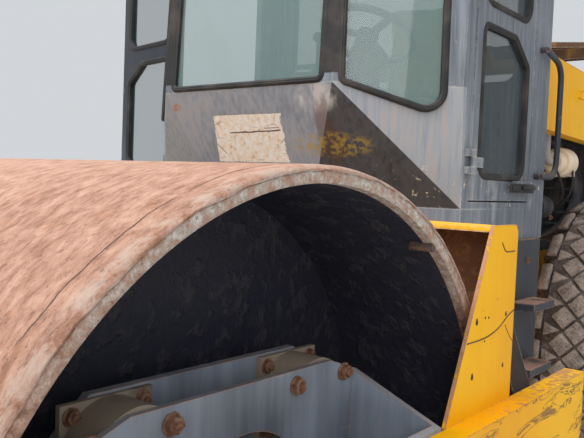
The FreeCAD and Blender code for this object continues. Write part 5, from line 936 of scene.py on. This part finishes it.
def pad(form, lay, outline, low, high, rounding):
    """A block from an outline in a placement's XY plane, its upper edges rounded."""
    verts = [form.verts.new(lay @ Vector((x, y, low))) for x, y in outline]
    face = form.faces.new(verts)
    face.normal_update()
    upward = (lay.to_3x3() @ Z).dot(face.normal) > 0
    made = bmesh.ops.extrude_face_region(form, geom=[face])
    top = [f for f in made["geom"] if isinstance(f, bmesh.types.BMFace)][0]
    bmesh.ops.translate(form, verts=top.verts, vec=lay.to_3x3() @ Z * (high - low))
    if upward:
        face.normal_flip()
    block_faces = {f for v in list(face.verts) + list(top.verts) for f in v.link_faces}
    bmesh.ops.recalc_face_normals(form, faces=list(block_faces))
    rims = {e for v in top.verts for e in v.link_edges}
    bmesh.ops.bevel(
        form, geom=list(rims), offset=rounding, segments=2, profile=0.5, affect="EDGES", material=-1
    )


def tread_blocks(form, axle, radius):
    """Square blocks set on their corners, in five staggered rows; the outer rows are cut short."""
    pitch = math.tau / BLOCK_COUNT
    step = radius * pitch / 2
    reach = step - BLOCK_GROOVE * 0.7071
    edge = 2 * step + reach - (2 * step + reach - 0.147)
    chance = random.Random(2)
    for row in range(-2, 3):
        middle = row * step
        for count in range(BLOCK_COUNT):
            angle = (count + (row % 2) / 2) * pitch
            lay = (
                Matrix.Translation(axle)
                @ Matrix.Rotation(angle, 4, "X")
                @ Matrix.Translation((middle, 0, radius))
                @ Matrix.Rotation(0.05 * (chance.random() - 0.5), 4, "Z")
            )
            outline = [(reach, 0), (0, reach), (-reach, 0), (0, -reach)]
            if abs(row) == 2:
                way = math.copysign(1, row)
                cut = edge - 2 * step
                short = reach - abs(cut)
                outline = [(-reach * way, 0), (cut * way, -short), (cut * way, short)]
            pad(form, lay, outline, -TREAD - 0.004, -0.0022 - 0.0008 * abs(row), 0.008)


def shoulder_lugs(form, axle, radius):
    """Long lugs over each shoulder, half a pitch apart from side to side."""
    pitch = math.tau / LUG_COUNT
    half_long = (radius * pitch - LUG_GROOVE) / 2
    for way, start in ((1, 0.5), (-1, 0.0)):
        for count in range(LUG_COUNT):
            angle = (count + start) * pitch
            turn = Matrix.Translation(axle) @ Matrix.Rotation(angle, 4, "X")
            section = [
                (0.158, radius),
                (0.178, radius - 0.001),
                (0.214, radius - 0.022),
                (0.2265, radius - 0.048),
                (0.233, radius - 0.085),
                (0.19, radius - 0.085),
                (0.158, radius - TREAD - 0.004),
            ]
            ends = []
            for along, share in ((-half_long, 1), (half_long, 1)):
                ends.append([form.verts.new(turn @ Vector((way * x, along, z))) for x, z in section])
            count_points = len(section)
            faces = [form.faces.new(ends[0]), form.faces.new(list(reversed(ends[1])))]
            for i in range(count_points):
                after = (i + 1) % count_points
                faces.append(form.faces.new((ends[0][after], ends[0][i], ends[1][i], ends[1][after])))
            bmesh.ops.recalc_face_normals(form, faces=faces)
            rims = {e for f in faces[:2] for e in f.edges}
            rims |= {e for f in faces[2:4] + faces[-1:] for e in f.edges}
            bmesh.ops.bevel(
                form, geom=list(rims), offset=0.007, segments=2, profile=0.5, affect="EDGES", material=-1
            )


def wheel_nuts():
    for name, side in SIDES:
        low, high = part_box(f"rim_{name}")
        axle = (low + high) / 2
        face = side * 0.712
        form = bmesh.new()
        for step in range(10):
            angle = step * math.tau / 10
            at = Vector((face, axle.y + math.cos(angle) * 0.178, axle.z + math.sin(angle) * 0.178))
            bolt(form, at, X * side, 0.019, angle)
        roughen(form, 0.0012, 0.02)
        piece(f"wheel_nuts_{name}", form, f"wheel_{name}", "bolt")


# Windows

# The seal's section: outward from the pane's edge, and up from the glass
SEAL = (
    (-0.012, 0.0003),
    (-0.0105, 0.0125),
    (-0.004, 0.017),
    (0.001, 0.0165),
    (0.003, 0.0185),
    (0.008, 0.0175),
    (0.0125, 0.0135),
    (0.0125, 0.0003),
)


def panes(node):
    """The outer face of every pane in a glass node, as its corners in order and its normal."""
    form = bmesh.new()
    form.from_mesh(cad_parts[node].data)
    form.transform(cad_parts[node].matrix_world)
    bmesh.ops.remove_doubles(form, verts=form.verts, dist=1e-5)
    bmesh.ops.dissolve_limit(form, angle_limit=0.02, verts=form.verts, edges=form.edges)
    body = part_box("cab_frame")
    middle = (body[0] + body[1]) / 2
    found = []
    for face in form.faces:
        out = (face.calc_center_median() - middle).dot(face.normal)
        if face.calc_area() > 0.05 and out > 0:
            found.append(([v.co.copy() for v in face.verts], face.normal.copy()))
    form.free()
    return found


def gasket(form, points, normal):
    """A rounded band of rubber along a pane's outline."""
    rows = []
    count = len(points)
    for i, at in enumerate(points):
        along = (points[(i + 1) % count] - points[i - 1]).normalized()
        out = along.cross(normal)
        rows.append([form.verts.new(at + out * side + normal * rise) for side, rise in SEAL])
    band = []
    for i, row in enumerate(rows):
        after = rows[(i + 1) % count]
        for k in range(len(SEAL)):
            band.append(form.faces.new((row[k - 1], row[k], after[k], after[k - 1])))
    bmesh.ops.recalc_face_normals(form, faces=band)


def build_gaskets():
    """Rubber seals from each pane up over the edge of the wall that holds it."""
    for name, node, body in (
        ("cab_gaskets", "cab_glass", "rear_frame"),
        ("door_gasket_left", "door_glass_left", "door_left"),
        ("door_gasket_right", "door_glass_right", "door_right"),
    ):
        form = bmesh.new()
        for points, normal in panes(node):
            gasket(form, points, normal)
        piece(name, form, body, "rubber", crease=40)
    corner_seals()


def upright(points, side):
    """The upright straight edge of a pane that lies furthest to one side, from its foot to its head."""
    pairs = [(points[i - 1], points[i]) for i in range(len(points))]
    pairs = [pair for pair in pairs if abs(pair[0].z - pair[1].z) > 0.8]
    return sorted(max(pairs, key=lambda pair: side * pair[0].x), key=lambda p: p.z)


def corner_seals():
    """The rubber that joins the front pane's seal to each slanted pane's, down the cab's corner."""
    form = bmesh.new()
    front, *slanted = sorted(panes("cab_glass"), key=lambda pane: sum(p.y for p in pane[0]) / len(pane[0]))[:3]
    for _, side in SIDES:
        wing = max(slanted, key=lambda pane: side * pane[1].x)
        edges = ((upright(front[0], side), front[1]), (upright(wing[0], -side), wing[1]))
        rows = []
        for level in (0, 1):
            for rise in (0.010, 0.0136):
                a, b = [edge[level] + normal * rise for edge, normal in edges]
                b = b + (edges[1][0][1] - edges[1][0][0]) * (a.z - b.z) / (edges[1][0][1].z - edges[1][0][0].z)
                # Where the two walls' planes meet at this height
                n, m = edges[0][1], edges[1][1]
                turn = n.x * m.y - n.y * m.x
                c, d = n.xy.dot(a.xy), m.xy.dot(b.xy)
                apex = Vector(((c * m.y - d * n.y) / turn, (n.x * d - m.x * c) / turn, a.z))
                rows.append([form.verts.new(p) for p in (a, apex, b)])
        inner_low, outer_low, inner_high, outer_high = rows
        band = []
        for one, two in ((outer_low, outer_high), (inner_low, inner_high), (inner_low, outer_low), (inner_high, outer_high)):
            band += [form.faces.new((one[k], one[k + 1], two[k + 1], two[k])) for k in (0, 1)]
        for k in (0, 2):
            band.append(form.faces.new([row[k] for row in (inner_low, outer_low, outer_high, inner_high)]))
        bmesh.ops.recalc_face_normals(form, faces=band)
    piece("corner_seals", form, "rear_frame", "rubber")


# Cab and engine bay


def cushion(name, form, most=0.026):
    """Remeshes a form evenly and lets it swell like stuffed cloth, no point further than the most."""
    thing = piece(name, form, "rear_frame", "vinyl", 180, ["seat"])
    even = thing.modifiers.new("even", "REMESH")
    even.mode = "VOXEL"
    even.voxel_size = 0.006
    bake(thing)
    start = [v.co.copy() for v in thing.data.vertices]
    stuffing = thing.modifiers.new("stuffing", "CLOTH")
    stuffing.settings.use_pressure = True
    stuffing.settings.uniform_pressure_force = 4
    stuffing.settings.effector_weights.gravity = 0
    for step in range(1, 21):
        bpy.context.scene.frame_set(step)
    bake(thing)
    for vert, at in zip(thing.data.vertices, start):
        away = vert.co - at
        if away.length > most:
            vert.co = at + away.normalized() * most
    bpy.context.scene.frame_set(1)
    smoother = thing.modifiers.new("smoother", "SUBSURF")
    smoother.levels = smoother.render_levels = 1
    thing.data.polygons.foreach_set("use_smooth", [True] * len(thing.data.polygons))


def build_seat():
    low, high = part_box("seat")
    middle = (low.x + high.x) / 2
    top = low.z + 0.38
    form = bmesh.new()
    block(form, (middle - 0.15, low.y + 0.09, low.z), (middle + 0.15, 1.79, top - 0.1), 0.012)
    block(form, (low.x + 0.02, low.y + 0.03, top - 0.118), (high.x - 0.02, 1.815, top - 0.098), 0.006)
    piece("seat_stand", form, "rear_frame", "plastic", 30, ["seat"])
    form = bmesh.new()
    block(form, (low.x + 0.02, low.y + 0.02, top - 0.092), (high.x - 0.02, 1.715, top - 0.02), 0.028, 3)
    cushion("seat_cushion", form)
    form = bmesh.new()
    block(form, (low.x + 0.02, 1.725, top - 0.02), (high.x - 0.02, 1.8, high.z - 0.025), 0.03, 3)
    lean = Matrix.Translation((0, 0, top)) @ Matrix.Shear("XY", 4, (0, 0.075)) @ Matrix.Translation((0, 0, -top))
    form.transform(lean)
    cushion("seat_back", form)


def air_duct():
    """The pale pipe that comes down to the bellows, and the thin hoses beside it."""
    low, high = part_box("air_pipe")
    x = (low.x + high.x) / 2
    foot, reach = low.z + 0.0108, 0.06
    rear = high.y
    front = low.y + 0.0108
    bend = [
        Vector((x, front, foot + reach)),
        Vector((x, front + reach * 0.12, foot + reach * 0.45)),
        Vector((x, front + reach * 0.45, foot + reach * 0.12)),
        Vector((x, front + reach, foot)),
    ]
    form = bmesh.new()
    tube(form, [Vector((x, front, high.z)), Vector((x, front, foot + 0.2)), *bend, Vector((x, rear, foot))], 0.0195, 24)
    piece("air_duct", form, "rear_frame", "duct", 40, ["air_pipe"])
    form = bmesh.new()
    for points in (
        ((0.655, 2.3, 1.575), (0.66, 2.36, 1.52), (0.655, 2.42, 1.45), (0.6, 2.46, 1.41)),
        ((0.668, 2.43, 1.66), (0.685, 2.46, 1.56), (0.66, 2.48, 1.44), (0.6, 2.5, 1.4)),
    ):
        tube(form, [Vector(p) for p in points], 0.0055, 12)
    piece("air_hoses", form, "rear_frame", "rubber")


def door_handles():
    """The latch in its dark recess, low on the left door."""
    for name, side in SIDES:
        low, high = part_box(f"door_{name}")
        if side < 0:
            continue
        form = bmesh.new()
        face = 0.7662
        block(form, (face - 0.0035, 1.508, 1.462), (face, 1.738, 1.496), 0.0012)
        block(form, (face, 1.52, 1.468), (face + 0.004, 1.6, 1.49), 0.003)
        block(form, (face, 1.606, 1.474), (face + 0.014, 1.724, 1.492), 0.005)
        piece(f"door_latch_{name}", form, f"door_{name}", "rubber")


def lamp_lenses():
    """Ribbed lenses in the recesses of the work lamps."""
    form = bmesh.new()
    for x, y, way in ((0.29, 0.782, -1), (0.56, 2.033, 1)):
        for _, side in SIDES:
            middle = Vector((side * x, y - way * 0.0035, 2.905))
            reach = Vector((0.061, 0.0022, 0.031))
            block(form, middle - reach, middle + reach, 0.0015)
            for count in range(7):
                rib = middle + X * (count - 3) * 0.017 + Y * way * 0.0018
                drum_form(form, rib - Z * 0.028, rib + Z * 0.028, 0.0014, sides=8)
    piece("lamp_lenses", form, "rear_frame", "lamp")


def panel_fittings():
    """The lifting eyes and bolts on the sides of the engine bay and steps."""
    low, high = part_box("engine_panels")
    form = bmesh.new()
    eyes = bmesh.new()
    for _, side in SIDES:
        face = side * high.x
        at = Vector((face, 2.42, 1.93))
        ring = [at + X * side * 0.022 * (1 - math.cos(a)) + Z * 0.022 * math.sin(a) for a in angles(8)]
        tube(eyes, ring, 0.0045, 12, closed=True)
        block(eyes, at - Vector((0.006, 0.02, 0.016)), at + Vector((0.006, 0.02, 0.016)), 0.002)
        for along in (2.12, 2.9, 3.7):
            bolt(form, Vector((face, along, 1.36)), X * side, 0.009, along)
        bolt(form, Vector((side * 0.76, 1.72, 1.2)), X * side, 0.011, 1.2)
    piece("panel_bolts", form, "rear_frame", "bolt")
    piece("lifting_eyes", eyes, "rear_frame", "yellow")


def angles(count):
    return [math.tau * i / count for i in range(count)]


# Scene


def build_stage():
    form = bmesh.new()
    bmesh.ops.create_grid(form, x_segments=1, y_segments=1, size=40)
    mesh = bpy.data.meshes.new("floor")
    form.to_mesh(mesh)
    form.free()
    floor = bpy.data.objects.new("floor", mesh)
    bpy.context.scene.collection.objects.link(floor)
    f = Finish("floor_paint")
    mesh.materials.append(f.done(f.tones(f.grain(2.0), (0.2, "floor"), (0.8, "floor")), 0.8))
    world = bpy.data.worlds.new("daylight")
    world.use_nodes = True
    bpy.context.scene.world = world
    sky = world.node_tree.nodes["Background"]
    sky.inputs["Color"].default_value = tone("sky")
    sky.inputs["Strength"].default_value = 0.75
    # Each lamp: name, place, what it points at, width, strength
    for name, at, aim, width, power in (
        ("overhead", (-0.5, -1.5, 7.0), (0.3, 0.8, 0.8), 6.0, 620),
        ("front", (4.5, -5.0, 3.4), (0.2, 0.6, 1.0), 4.0, 130),
    ):
        light = bpy.data.lights.new(name, "AREA")
        light.size = width
        light.energy = power
        lamp = bpy.data.objects.new(name, light)
        bpy.context.scene.collection.objects.link(lamp)
        lamp.matrix_world = facing(Vector(at) - Vector(aim), at)


def build_camera():
    heading, rise = CAMERA_HEADING, CAMERA_RISE
    ahead = Vector((-math.sin(heading) * math.cos(rise), math.cos(heading) * math.cos(rise), math.sin(rise)))
    level = Vector((math.cos(heading), math.sin(heading), 0))
    up = level.cross(ahead)
    right = level * math.cos(CAMERA_ROLL) + up * math.sin(CAMERA_ROLL)
    up = up * math.cos(CAMERA_ROLL) - level * math.sin(CAMERA_ROLL)
    lens = bpy.data.cameras.new("camera")
    lens.sensor_width = SENSOR
    lens.lens = SENSOR * FOCAL_PIXELS / FRAME_WIDE
    camera = bpy.data.objects.new("camera", lens)
    bpy.context.scene.collection.objects.link(camera)
    turn = Matrix((right, up, -ahead)).transposed().to_4x4()
    camera.matrix_world = Matrix.Translation(CAMERA_AT) @ turn
    bpy.context.scene.camera = camera


build_camera()
build_stage()
dress_nodes()
build_drum()
bracket_bolts()
plate_bolts()
build_tyres()
wheel_nuts()
build_gaskets()
gusset_marks()
build_seat()
door_handles()
air_duct()
lamp_lenses()
panel_fittings()

bpy.context.scene.view_settings.view_transform = "Standard"
